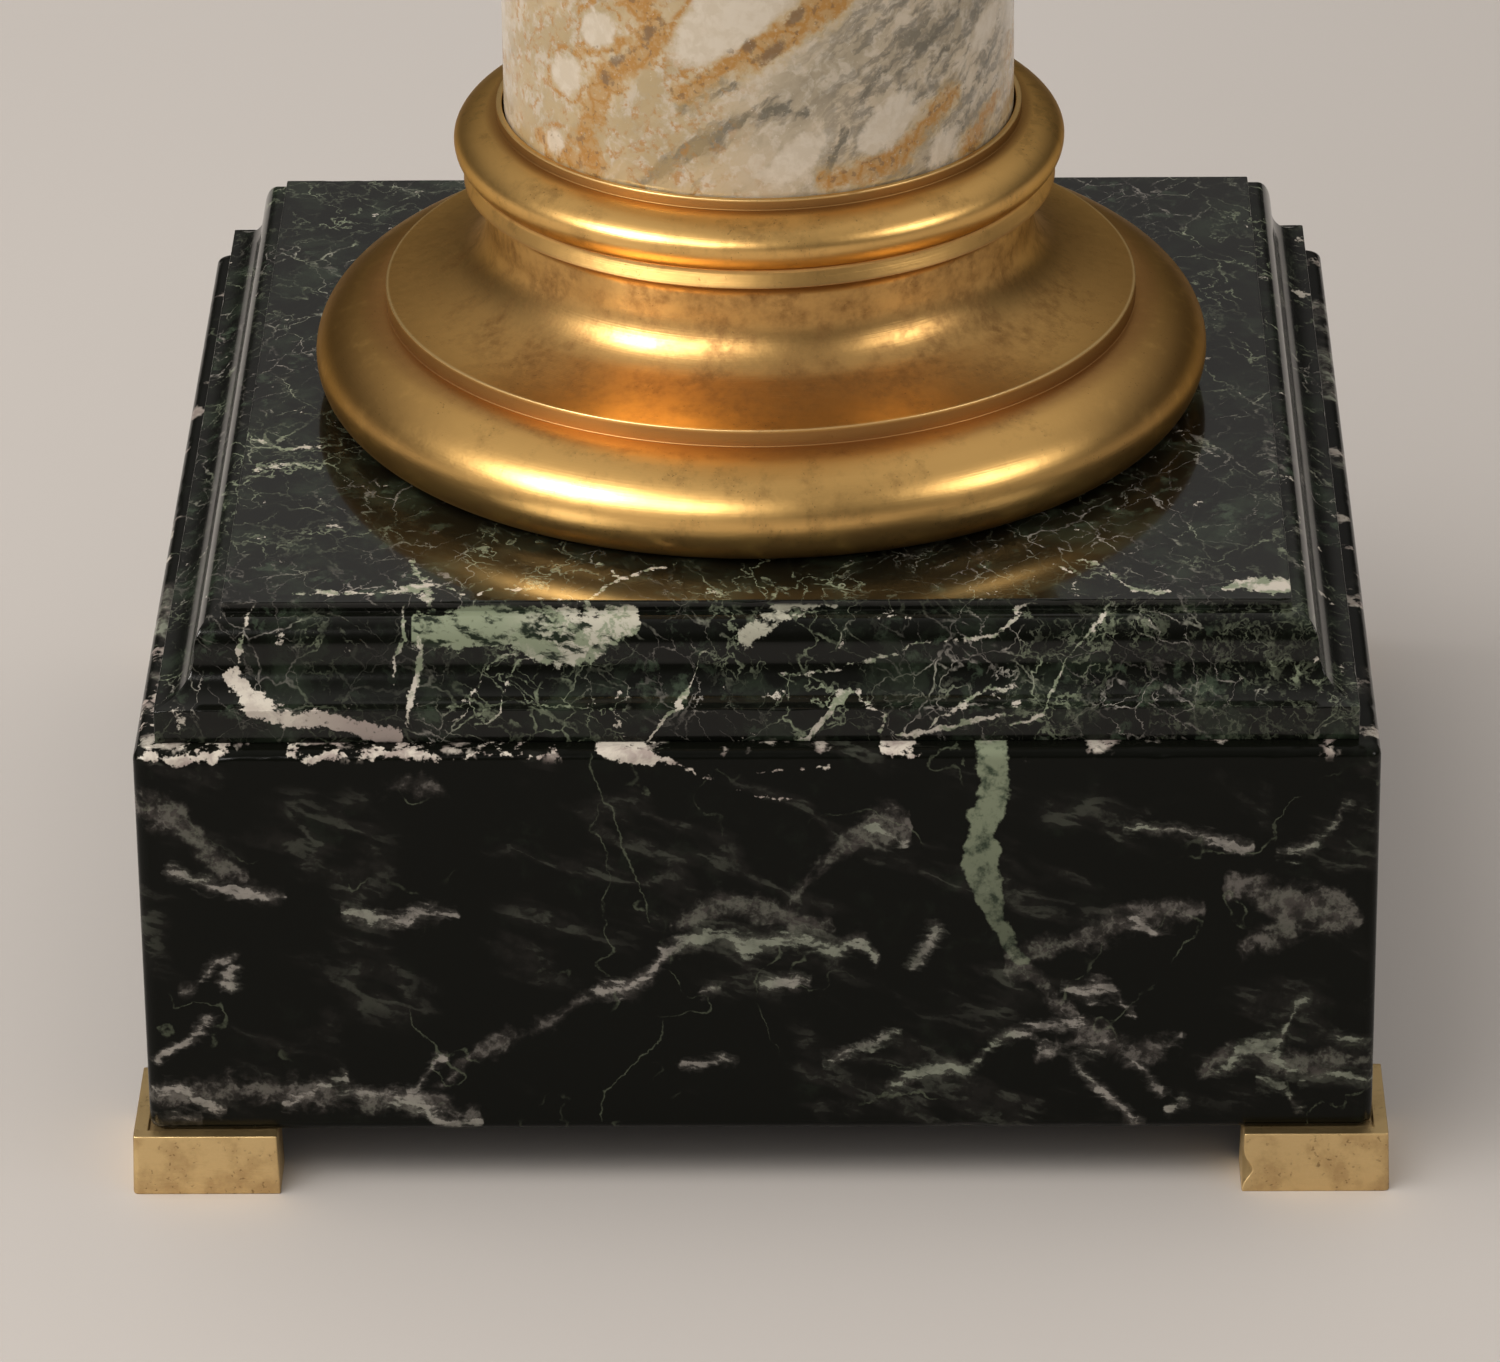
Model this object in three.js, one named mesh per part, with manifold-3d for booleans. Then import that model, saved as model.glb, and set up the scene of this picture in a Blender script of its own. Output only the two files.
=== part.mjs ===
// A column pedestal: four gilt bronze corner feet, a green marble block, a moulded
// green marble slab, a turned gilt bronze base, a breccia marble shaft, a turned
// gilt bronze capital and a green marble top slab.
// Millimetres, +Z up, origin on the floor under the middle of the pedestal.

import * as THREE from 'three';
import { mergeVertices } from 'three/addons/utils/BufferGeometryUtils.js';
import Module from 'manifold-3d';

const wasm = await Module();
wasm.setup();

// Facets of a turned piece, and of one quarter of a moulding's curve
const ROUND_FACETS = 60;
const CURVE_FACETS = 6;

// Shaft
const SHAFT_DIAMETER = 144.6;
const SHAFT_LENGTH = 754;
const SHAFT_TAPER = 5.5;
const SHAFT_ENTASIS_POWER = 1.7;
const SHAFT_RINGS = 10;

// Clearance between the shaft and a bronze socket, and how deep it stands in each
const SOCKET_CLEARANCE = 0.6;
const BASE_SOCKET_DEPTH = 7;
const CAPITAL_SOCKET_DEPTH = 6;

// Turned base: heights of its members from the slab upwards
const LOWER_TORUS_HEIGHT = 28;
const LOWER_TORUS_BELLY = 12.5;
const FLANGE_HEIGHT = 5;
const SCOTIA_HEIGHT = 27;
const UNDERCUT_HEIGHT = 5.2;
const UPPER_FILLET_HEIGHT = 4.2;
const UPPER_TORUS_HEIGHT = 15.2;
const COLLAR_HEIGHT = 3.1;

// Turned base: how far its members stand out, each from the one named
const COLLAR_WALL = 1.6;
const UPPER_LEDGE = 4.6;
const UPPER_TORUS_OUT = 7.6;
const UPPER_FILLET_OUT = 9.7;
const UPPER_FILLET_SPLAY = 1.4;
const NECK_OUT = 3.5;
const SCOTIA_OUT = 29.3;
const FLANGE_LEDGE = 6.5;
const LOWER_TORUS_OUT = 14;
const LOWER_TORUS_TUCK = 7.7;

// Moulded slab, from its flat top down: each member's height and how far it steps out
const SLAB_MARGIN = 18.2;
const TOP_FILLET_HEIGHT = 3.1;
const TOP_LEDGE = 2.1;
const OVOLO_HEIGHT = 9.6;
const OVOLO_OUT = 5.4;
const COVE_HEIGHT = 11.3;
const COVE_OUT = 10.6;
const FOOT_FILLET_HEIGHT = 10;

// Block
const BLOCK_HEIGHT = 118.5;
const BLOCK_SHELF = 5.9;
const BLOCK_ARRIS = 3;
const BLOCK_CORNER_RADIUS = 3.4;
const CORNER_FACETS = 3;

// Corner feet
const FOOT_SEAT_HEIGHT = 17;
const FOOT_LIP_RISE = 1;
const FOOT_LIP_WIDTH = 4;
const FOOT_LIP_CLEARANCE = 0.4;
const FOOT_ARM_LENGTH = 40;
const FOOT_UNDER_REACH = 13;
const FOOT_FLARE = 0.6;

// Turned capital: heights from its foot upwards, and how far its members stand out
const CAPITAL_COLLAR_HEIGHT = 3;
const ASTRAGAL_HEIGHT = 13;
const CAPITAL_NECK_HEIGHT = 12;
const CAPITAL_FILLET_HEIGHT = 4;
const ECHINUS_HEIGHT = 20;
const ABACUS_HEIGHT = 8;
const ASTRAGAL_OUT = 6.5;
const CAPITAL_NECK_OUT = 2.4;
const CAPITAL_FILLET_OUT = 4.5;
const ECHINUS_OUT = 21;
const ABACUS_LEDGE = 3;

// Top slab, from its underside up
const TOP_SLAB_MARGIN = 54;
const TOP_SLAB_FOOT_HEIGHT = 4;
const TOP_SLAB_COVE_HEIGHT = 9;
const TOP_SLAB_COVE_OUT = 9;
const TOP_SLAB_FACE_HEIGHT = 18;
const TOP_SLAB_ARRIS = 2.6;

// Sizes that follow from the ones above
const SHAFT_RADIUS = SHAFT_DIAMETER / 2;
const SHAFT_TOP_RADIUS = SHAFT_RADIUS - SHAFT_TAPER;

const BASE_SOCKET_RADIUS = SHAFT_RADIUS + SOCKET_CLEARANCE;
const COLLAR_RADIUS = BASE_SOCKET_RADIUS + COLLAR_WALL;
const UPPER_TORUS_CORE = COLLAR_RADIUS + UPPER_LEDGE;
const NECK_RADIUS = COLLAR_RADIUS + NECK_OUT;
const UPPER_FILLET_RADIUS = COLLAR_RADIUS + UPPER_FILLET_OUT;
const FLANGE_RADIUS = NECK_RADIUS + SCOTIA_OUT;
const LOWER_TORUS_CORE = FLANGE_RADIUS + FLANGE_LEDGE;
const BASE_RADIUS = LOWER_TORUS_CORE + LOWER_TORUS_OUT;

const SLAB_TOP_HALF = BASE_RADIUS + SLAB_MARGIN;
const OVOLO_START_HALF = SLAB_TOP_HALF + TOP_LEDGE;
const COVE_START_HALF = OVOLO_START_HALF + OVOLO_OUT;
const SLAB_HALF = COVE_START_HALF + COVE_OUT;
const SLAB_HEIGHT = FOOT_FILLET_HEIGHT + COVE_HEIGHT + OVOLO_HEIGHT + TOP_FILLET_HEIGHT;
const BLOCK_HALF = SLAB_HALF + BLOCK_SHELF;

const CAPITAL_SOCKET_RADIUS = SHAFT_TOP_RADIUS + SOCKET_CLEARANCE;
const CAPITAL_COLLAR_RADIUS = CAPITAL_SOCKET_RADIUS + COLLAR_WALL;
const CAPITAL_RADIUS = CAPITAL_COLLAR_RADIUS + CAPITAL_FILLET_OUT + ECHINUS_OUT;
const CAPITAL_HEIGHT = CAPITAL_COLLAR_HEIGHT + ASTRAGAL_HEIGHT + CAPITAL_NECK_HEIGHT
  + CAPITAL_FILLET_HEIGHT + ECHINUS_HEIGHT + ABACUS_HEIGHT;
const TOP_SLAB_HALF = CAPITAL_RADIUS + TOP_SLAB_MARGIN;

const BASE_HEIGHT = LOWER_TORUS_HEIGHT + FLANGE_HEIGHT + SCOTIA_HEIGHT + UNDERCUT_HEIGHT
  + UPPER_FILLET_HEIGHT + UPPER_TORUS_HEIGHT + COLLAR_HEIGHT;

// Levels of the stacked pieces above the floor
const BLOCK_LEVEL = FOOT_SEAT_HEIGHT;
const SLAB_LEVEL = BLOCK_LEVEL + BLOCK_HEIGHT;
const BASE_LEVEL = SLAB_LEVEL + SLAB_HEIGHT;
const SHAFT_LEVEL = BASE_LEVEL + BASE_HEIGHT - BASE_SOCKET_DEPTH;
const CAPITAL_LEVEL = SHAFT_LEVEL + SHAFT_LENGTH - CAPITAL_SOCKET_DEPTH;
const TOP_SLAB_LEVEL = CAPITAL_LEVEL + CAPITAL_HEIGHT;

// Finishes
const gildedBronze = { color: 0xb0813f, roughness: 0.34, metalness: 1 };
const footBronze = { color: 0xb7985c, roughness: 0.45, metalness: 1 };
const greenMarble = { color: 0x161b18, roughness: 0.22, metalness: 0 };
const brecciaMarble = { color: 0xcfc4b4, roughness: 0.28, metalness: 0 };

// Points of an elliptical arc about (centre out, centre up), from one angle to another
// in degrees, where 0 points outwards and 90 points up
function arc(centreOut, centreUp, radiusOut, radiusUp, fromDegrees, toDegrees, facets) {
  const points = [];
  for (let step = 0; step <= facets; step += 1) {
    const angle = THREE.MathUtils.degToRad(
      fromDegrees + (toDegrees - fromDegrees) * step / facets);
    points.push([
      centreOut + radiusOut * Math.cos(angle),
      centreUp + radiusUp * Math.sin(angle),
    ]);
  }
  return points;
}

// A solid turned about Z from a profile of [out, up] points that runs upwards on the
// outside and starts and ends on the axis
function turned(profile, facets) {
  const points = profile.map(([out, up]) => new THREE.Vector2(out, up));
  const geometry = new THREE.LatheGeometry(points, facets);
  geometry.rotateX(Math.PI / 2);
  return geometry;
}

// A square solid with mitred corners: the same profile carried round four sides, with
// its [out, up] points measured to the middle of a side
function mitred(profile) {
  const toCorner = profile.map(([out, up]) => [out * Math.SQRT2, up]);
  const geometry = turned(toCorner, 4);
  geometry.rotateZ(Math.PI / 4);
  return geometry;
}

// Turned base: flat foot, lower torus, flange with a sharp edge, scotia, fillet, upper
// torus and a thin collar round the socket for the shaft
function baseGeometry() {
  const torusTop = LOWER_TORUS_HEIGHT;
  const flangeTop = torusTop + FLANGE_HEIGHT;
  const neck = flangeTop + SCOTIA_HEIGHT;
  const filletFoot = neck + UNDERCUT_HEIGHT;
  const filletTop = filletFoot + UPPER_FILLET_HEIGHT;
  const upperTop = filletTop + UPPER_TORUS_HEIGHT;
  const tuckDegrees = THREE.MathUtils.radToDeg(Math.acos(1 - LOWER_TORUS_TUCK / LOWER_TORUS_OUT));
  const tuckDepth = LOWER_TORUS_BELLY / Math.sin(THREE.MathUtils.degToRad(tuckDegrees));
  const upperMiddle = (filletTop + upperTop) / 2;
  const profile = [
    [0, 0],
    ...arc(LOWER_TORUS_CORE, LOWER_TORUS_BELLY, LOWER_TORUS_OUT, tuckDepth,
      -tuckDegrees, 0, CURVE_FACETS - 2),
    ...arc(LOWER_TORUS_CORE, LOWER_TORUS_BELLY, LOWER_TORUS_OUT,
      torusTop - LOWER_TORUS_BELLY, 0, 90, CURVE_FACETS + 1).slice(1),
    [FLANGE_RADIUS, torusTop],
    ...arc(FLANGE_RADIUS, neck, SCOTIA_OUT, SCOTIA_HEIGHT, 270, 180, CURVE_FACETS + 2),
    ...arc(UPPER_FILLET_RADIUS, neck, UPPER_FILLET_RADIUS - NECK_RADIUS, UNDERCUT_HEIGHT,
      180, 90, CURVE_FACETS / 2).slice(1),
    [UPPER_FILLET_RADIUS - UPPER_FILLET_SPLAY, filletTop],
    ...arc(UPPER_TORUS_CORE, upperMiddle, UPPER_TORUS_OUT, UPPER_TORUS_HEIGHT / 2,
      -60, 90, CURVE_FACETS + 3),
    [COLLAR_RADIUS, upperTop],
    [COLLAR_RADIUS, BASE_HEIGHT],
    [BASE_SOCKET_RADIUS, BASE_HEIGHT],
    [BASE_SOCKET_RADIUS, BASE_HEIGHT - BASE_SOCKET_DEPTH],
    [0, BASE_HEIGHT - BASE_SOCKET_DEPTH],
  ];
  return turned(profile, ROUND_FACETS);
}

// Shaft: it narrows slowly at first and faster towards its top
function shaftGeometry() {
  const side = [];
  for (let ring = 0; ring <= SHAFT_RINGS; ring += 1) {
    const share = ring / SHAFT_RINGS;
    const radius = SHAFT_RADIUS - SHAFT_TAPER * share ** SHAFT_ENTASIS_POWER;
    side.push([radius, SHAFT_LENGTH * share]);
  }
  return turned([[0, 0], ...side, [0, SHAFT_LENGTH]], ROUND_FACETS);
}

// Turned capital: a collar and a bead round the shaft's head, a neck, a fillet, an
// echinus that swells outwards and a round abacus
function capitalGeometry() {
  const neckRadius = CAPITAL_COLLAR_RADIUS + CAPITAL_NECK_OUT;
  const filletRadius = CAPITAL_COLLAR_RADIUS + CAPITAL_FILLET_OUT;
  const beadMiddle = CAPITAL_COLLAR_HEIGHT + ASTRAGAL_HEIGHT / 2;
  const neckFoot = CAPITAL_COLLAR_HEIGHT + ASTRAGAL_HEIGHT;
  const filletFoot = neckFoot + CAPITAL_NECK_HEIGHT;
  const echinusFoot = filletFoot + CAPITAL_FILLET_HEIGHT;
  const abacusFoot = echinusFoot + ECHINUS_HEIGHT;
  const profile = [
    [0, CAPITAL_SOCKET_DEPTH],
    [CAPITAL_SOCKET_RADIUS, CAPITAL_SOCKET_DEPTH],
    [CAPITAL_SOCKET_RADIUS, 0],
    [CAPITAL_COLLAR_RADIUS, 0],
    ...arc(CAPITAL_COLLAR_RADIUS, beadMiddle, ASTRAGAL_OUT, ASTRAGAL_HEIGHT / 2,
      -90, 90, CURVE_FACETS + 2),
    [neckRadius, neckFoot],
    [neckRadius, filletFoot],
    [filletRadius, filletFoot],
    [filletRadius, echinusFoot],
    ...arc(filletRadius, abacusFoot, ECHINUS_OUT - ABACUS_LEDGE, ECHINUS_HEIGHT,
      -90, 0, CURVE_FACETS).slice(1),
    [CAPITAL_RADIUS, abacusFoot],
    [CAPITAL_RADIUS, CAPITAL_HEIGHT],
    [0, CAPITAL_HEIGHT],
  ];
  return turned(profile, ROUND_FACETS);
}

// Moulded slab: a foot fillet, a cove and an ovolo that flow into each other, a narrow
// ledge and a thin fillet under the flat top
function slabGeometry() {
  const coveFoot = FOOT_FILLET_HEIGHT;
  const ovoloFoot = coveFoot + COVE_HEIGHT;
  const ovoloTop = ovoloFoot + OVOLO_HEIGHT;
  return mitred([
    [0, 0],
    [SLAB_HALF, 0],
    ...arc(SLAB_HALF, ovoloFoot, COVE_OUT, COVE_HEIGHT, 270, 180, CURVE_FACETS + 2),
    ...arc(OVOLO_START_HALF, ovoloFoot, OVOLO_OUT, OVOLO_HEIGHT, 0, 90,
      CURVE_FACETS + 2).slice(1),
    [SLAB_TOP_HALF, ovoloTop],
    [SLAB_TOP_HALF, SLAB_HEIGHT],
    [0, SLAB_HEIGHT],
  ]);
}

// Top slab: a foot fillet, a cove and a flat face with a rounded upper arris
function topSlabGeometry() {
  const coveFootHalf = TOP_SLAB_HALF - TOP_SLAB_COVE_OUT;
  const coveTop = TOP_SLAB_FOOT_HEIGHT + TOP_SLAB_COVE_HEIGHT;
  const height = coveTop + TOP_SLAB_FACE_HEIGHT;
  return mitred([
    [0, 0],
    [coveFootHalf, 0],
    ...arc(TOP_SLAB_HALF, TOP_SLAB_FOOT_HEIGHT, TOP_SLAB_COVE_OUT, TOP_SLAB_COVE_HEIGHT,
      180, 90, CURVE_FACETS),
    ...arc(TOP_SLAB_HALF - TOP_SLAB_ARRIS, height - TOP_SLAB_ARRIS, TOP_SLAB_ARRIS,
      TOP_SLAB_ARRIS, 0, 90, CURVE_FACETS / 2),
    [0, height],
  ]);
}

// A square outline with rounded corners, centred on the axis
function roundedSquare(half, radius) {
  const shape = new THREE.Shape();
  shape.moveTo(half, radius - half);
  shape.absarc(half - radius, half - radius, radius, 0, Math.PI / 2);
  shape.absarc(radius - half, half - radius, radius, Math.PI / 2, Math.PI);
  shape.absarc(radius - half, radius - half, radius, Math.PI, Math.PI * 1.5);
  shape.absarc(half - radius, radius - half, radius, Math.PI * 1.5, Math.PI * 2);
  return shape;
}

// Block: a square prism with worn round arrises all round
function blockGeometry() {
  const geometry = new THREE.ExtrudeGeometry(roundedSquare(BLOCK_HALF, BLOCK_CORNER_RADIUS), {
    depth: BLOCK_HEIGHT - 2 * BLOCK_ARRIS,
    bevelThickness: BLOCK_ARRIS,
    bevelSize: BLOCK_ARRIS,
    bevelOffset: -BLOCK_ARRIS,
    bevelSegments: CORNER_FACETS,
    curveSegments: CORNER_FACETS,
  });
  geometry.translate(0, 0, BLOCK_ARRIS);
  return geometry;
}

// A closed solid for joining and cutting, and its way back to a geometry
function toSolid(geometry) {
  geometry.deleteAttribute('normal');
  geometry.deleteAttribute('uv');
  const merged = mergeVertices(geometry);
  return new wasm.Manifold(new wasm.Mesh({
    numProp: 3,
    vertProperties: new Float32Array(merged.attributes.position.array),
    triVerts: new Uint32Array(merged.index.array),
  }));
}

function toGeometry(solid) {
  const mesh = solid.getMesh();
  const geometry = new THREE.BufferGeometry();
  geometry.setAttribute('position', new THREE.BufferAttribute(mesh.vertProperties, 3));
  geometry.setIndex(new THREE.BufferAttribute(mesh.triVerts, 1));
  geometry.computeVertexNormals();
  return geometry;
}

// Corner foot: two arms in an L, drawn with the block's corner at the origin and the
// block above +X +Y. The pocket that takes the block's corner leaves a low lip outside.
// The outer faces and the ends of the arms lean out a little towards the floor.
function footGeometry() {
  const outside = FOOT_LIP_CLEARANCE + FOOT_LIP_WIDTH;
  const end = FOOT_ARM_LENGTH - outside;
  const height = FOOT_SEAT_HEIGHT + FOOT_LIP_RISE;
  const outline = new THREE.Shape([
    new THREE.Vector2(-outside, -outside),
    new THREE.Vector2(end, -outside),
    new THREE.Vector2(end, FOOT_UNDER_REACH),
    new THREE.Vector2(FOOT_UNDER_REACH, FOOT_UNDER_REACH),
    new THREE.Vector2(FOOT_UNDER_REACH, end),
    new THREE.Vector2(-outside, end),
  ]);
  const arms = new THREE.ExtrudeGeometry(outline, { depth: height, bevelEnabled: false });
  const middle = (end - outside) / 2;
  const position = arms.attributes.position;
  for (let vertex = 0; vertex < position.count; vertex += 1) {
    const lean = FOOT_FLARE * (1 - position.getZ(vertex) / height) / (FOOT_ARM_LENGTH / 2);
    const x = position.getX(vertex);
    const y = position.getY(vertex);
    position.setX(vertex, x + lean * (x - middle));
    position.setY(vertex, y + lean * (y - middle));
  }
  const pocket = new THREE.BoxGeometry(FOOT_ARM_LENGTH * 2, FOOT_ARM_LENGTH * 2, height);
  pocket.translate(
    FOOT_ARM_LENGTH - FOOT_LIP_CLEARANCE,
    FOOT_ARM_LENGTH - FOOT_LIP_CLEARANCE,
    height / 2 + FOOT_SEAT_HEIGHT);
  return toGeometry(toSolid(arms).subtract(toSolid(pocket)));
}

const pedestal = new THREE.Group();

// A named piece in its own material, standing at a level above the floor
function piece(name, geometry, finish, level) {
  const mesh = new THREE.Mesh(geometry, new THREE.MeshStandardMaterial(finish));
  mesh.name = name;
  mesh.position.z = level;
  pedestal.add(mesh);
  return mesh;
}

// The feet stand under the block's corners, anticlockwise from the front left
const corners = [
  ['foot_front_left', -1, -1],
  ['foot_front_right', 1, -1],
  ['foot_back_right', 1, 1],
  ['foot_back_left', -1, 1],
];
corners.forEach(([name, sideX, sideY], turn) => {
  const foot = piece(name, footGeometry(), footBronze, 0);
  foot.position.x = sideX * BLOCK_HALF;
  foot.position.y = sideY * BLOCK_HALF;
  foot.rotation.z = turn * Math.PI / 2;
});

piece('plinth_block', blockGeometry(), greenMarble, BLOCK_LEVEL);
piece('plinth_slab', slabGeometry(), greenMarble, SLAB_LEVEL);
piece('column_base', baseGeometry(), gildedBronze, BASE_LEVEL);
piece('shaft', shaftGeometry(), brecciaMarble, SHAFT_LEVEL);
piece('capital', capitalGeometry(), gildedBronze, CAPITAL_LEVEL);
piece('top_slab', topSlabGeometry(), greenMarble, TOP_SLAB_LEVEL);

export default pedestal;
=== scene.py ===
"""Marble column pedestal: a square green marble plinth on four gilt feet, a turned gilt
bronze base, a breccia marble shaft, a gilt capital and a green marble top.

Every piece is a surface worked out with numpy. Lengths are in metres, +Z is up and the
front of the plinth looks towards -Y. Patterns in the materials are laid out in
millimetres, in the object's own coordinates.
"""

import itertools
import math

import bpy
import numpy as np
from mathutils import Matrix, Vector


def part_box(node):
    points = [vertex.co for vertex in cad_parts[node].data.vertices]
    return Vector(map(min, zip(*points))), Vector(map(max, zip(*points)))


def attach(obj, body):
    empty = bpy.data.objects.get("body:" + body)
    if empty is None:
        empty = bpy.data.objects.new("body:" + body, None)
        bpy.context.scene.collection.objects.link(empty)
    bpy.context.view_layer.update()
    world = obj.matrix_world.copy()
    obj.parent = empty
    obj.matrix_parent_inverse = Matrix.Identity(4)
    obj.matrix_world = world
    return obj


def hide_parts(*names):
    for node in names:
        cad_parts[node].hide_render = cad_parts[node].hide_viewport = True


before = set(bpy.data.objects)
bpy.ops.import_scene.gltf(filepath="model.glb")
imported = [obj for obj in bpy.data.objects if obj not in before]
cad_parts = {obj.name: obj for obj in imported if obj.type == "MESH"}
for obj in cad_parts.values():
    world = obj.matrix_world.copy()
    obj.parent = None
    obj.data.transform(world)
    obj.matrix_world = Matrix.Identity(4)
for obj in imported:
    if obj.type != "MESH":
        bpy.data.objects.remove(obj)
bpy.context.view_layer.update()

bl_info = {
    "name": "Marble pedestal",
    "version": (1, 0, 0),
    "blender": (4, 5, 0),
    "location": "View3D > Sidebar > Pedestal",
    "description": "Builds a marble column pedestal with gilt bronze mounts",
    "category": "Add Mesh",
}

MM = 0.001
FEET = ("foot_front_left", "foot_front_right", "foot_back_right", "foot_back_left")
QUARTER = np.array([[0.0, 1.0], [-1.0, 0.0]])

# How far faces that other pieces cover run inwards before a fan closes them
REACH_UNDER = 12.0 * MM
REACH_OVER = 14.0 * MM
REACH_SLAB = 16.0 * MM
REACH_SHAFT = 8.0 * MM

# Widest rows of faces on the flat sides of the block and along the shaft
BLOCK_ROW = 4.0 * MM
SHAFT_ROW = 5.0 * MM

# Radius of the mitred slabs' upright corners, the capital's clearance round the shaft and
# the bend from which an edge is drawn sharp
MITRE = 0.45 * MM
SHAFT_CLEARANCE = 0.6 * MM
SHARP = math.radians(48.0)

# Bearing from the front in degrees, width and depth of the nick in the bronze collar, and
# height in shares of the foot, width and depth of the notch in the right front foot
NICK = (21.0, 1.1 * MM, 0.35 * MM)
NOTCH = (0.38, 3.2 * MM, 2.7 * MM)


def level(node):
    """Height of a node's underside."""
    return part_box(node)[0].z


def top(node):
    """Height of a node's highest point."""
    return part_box(node)[1].z


def half(node):
    """Half the width of a node that is centred on the axis."""
    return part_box(node)[1].x


# Sizes and colours that a user may change


def size(name, description, millimetres):
    return bpy.props.FloatProperty(
        name=name, description=description, default=millimetres * MM,
        min=0.0, unit="LENGTH", precision=4)


def count(name, description, default):
    return bpy.props.IntProperty(name=name, description=description, default=default, min=3)


def colour(name, description, red, green, blue):
    return bpy.props.FloatVectorProperty(
        name=name, description=description, default=(red, green, blue),
        size=3, subtype="COLOR", min=0.0, max=1.0)


class MeshSizes(bpy.types.PropertyGroup):
    """How finely the surfaces are divided and how worn their edges are."""

    around: count("Steps round", "Steps round a turned piece", 320)
    along: count("Steps along", "Steps along one side of a square piece", 190)
    row: size("Row", "Widest row of faces on a curved profile", 1.6)
    bronze_wear: size("Bronze wear", "Rounding of the bronze's edges", 0.36)
    marble_wear: size("Marble wear", "Rounding of the marble's edges", 0.42)
    chip: size("Chip depth", "Depth of the small chips along the marble's edges", 0.7)


class FootSizes(bpy.types.PropertyGroup):
    """Sizes of a corner foot."""

    arm: size("Arm", "Length of each arm", 40.0)
    width: size("Width", "Width of an arm across its underside", 17.4)
    seat: size("Seat", "Height of the seat under the block", 17.0)
    rise: size("Lip rise", "Height of the lip above the seat", 1.0)
    lip: size("Lip width", "Width of the lip outside the block", 4.0)
    flare: size("Flare", "How far the outer faces lean out at the floor", 0.6)
    wear: size("Wear", "Rounding of the edges", 0.45)
    corner: size("Corner", "Radius of the outer corner", 0.9)


class BlockSizes(bpy.types.PropertyGroup):
    """Sizes of the plinth block."""

    arris: size("Arris", "Radius of the rounded upper and lower arrises", 3.0)
    corner: size("Corner", "Radius of the four upright corners", 3.4)


class SlabSizes(bpy.types.PropertyGroup):
    """Sizes of the moulded slab, from its foot up."""

    foot: size("Foot fillet", "Height of the foot fillet", 10.0)
    cove: size("Cove", "Height of the cove", 11.3)
    cove_out: size("Cove reach", "How far the cove reaches out", 10.6)
    ovolo: size("Ovolo", "Height of the ovolo", 9.6)
    ovolo_out: size("Ovolo reach", "How far the ovolo swells out", 5.4)
    ledge: size("Ledge", "Width of the ledge above the ovolo", 2.1)


class BaseSizes(bpy.types.PropertyGroup):
    """Sizes of the turned bronze base, from its foot up."""

    lower: size("Lower torus", "Height of the lower torus", 28.0)
    belly: size("Belly", "Height of the widest line of the lower torus", 12.5)
    lower_out: size("Lower swell", "How far the lower torus swells out", 14.0)
    tuck: size("Tuck", "How far the lower torus draws in at its foot", 7.7)
    flange_ledge: size("Flange ledge", "Width of the ledge round the flange", 6.5)
    flange: size("Flange", "Height of the flange", 5.0)
    scotia: size("Scotia", "Height of the scotia", 27.0)
    scotia_out: size("Scotia reach", "How far the scotia sweeps out", 29.3)
    scotia_bend: size("Scotia bend", "Radius of the tight curve at the scotia's neck", 16.0)
    undercut: size("Undercut", "Height of the hollow under the fillet", 5.2)
    fillet: size("Fillet", "Height of the fillet", 4.2)
    splay: size("Fillet splay", "How far the fillet leans in", 1.4)
    upper: size("Upper torus", "Height of the upper torus", 15.2)
    upper_out: size("Upper swell", "How far the upper torus swells out", 7.6)
    collar_out: size("Neck", "How far the neck stands outside the collar", 3.5)
    fillet_out: size("Fillet reach", "How far the fillet stands outside the collar", 9.7)
    core_out: size("Upper ledge", "Width of the ledge round the collar", 4.6)
    wall: size("Collar wall", "Thickness of the collar", 1.6)
    socket: size("Socket", "Depth of the socket for the shaft", 7.0)


class ShaftSizes(bpy.types.PropertyGroup):
    """Sizes of the shaft."""

    taper: size("Taper", "How much the radius narrows towards the top", 5.5)
    entasis: bpy.props.FloatProperty(
        name="Entasis", description="Power of the taper's curve", default=1.7, min=1.0)


class CapitalSizes(bpy.types.PropertyGroup):
    """Sizes of the turned capital, from its foot up."""

    socket: size("Socket", "Depth of the socket for the shaft", 6.0)
    wall: size("Collar wall", "Thickness of the collar", 1.6)
    collar: size("Collar", "Height of the collar", 3.0)
    bead: size("Bead", "Height of the bead", 13.0)
    bead_out: size("Bead swell", "How far the bead swells out", 6.5)
    neck: size("Neck", "Height of the neck", 12.0)
    neck_out: size("Neck reach", "How far the neck stands outside the collar", 2.4)
    fillet: size("Fillet", "Height of the fillet", 4.0)
    fillet_out: size("Fillet reach", "How far the fillet stands outside the collar", 4.5)
    echinus: size("Echinus", "Height of the echinus", 20.0)
    ledge: size("Ledge", "Width of the ledge under the abacus", 3.0)


class TopSizes(bpy.types.PropertyGroup):
    """Sizes of the top slab, from its foot up."""

    foot: size("Foot fillet", "Height of the foot fillet", 4.0)
    cove: size("Cove", "Height of the cove", 9.0)
    cove_out: size("Cove reach", "How far the cove reaches out", 9.0)
    arris: size("Arris", "Radius of the rounded upper arris", 2.6)


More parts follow.
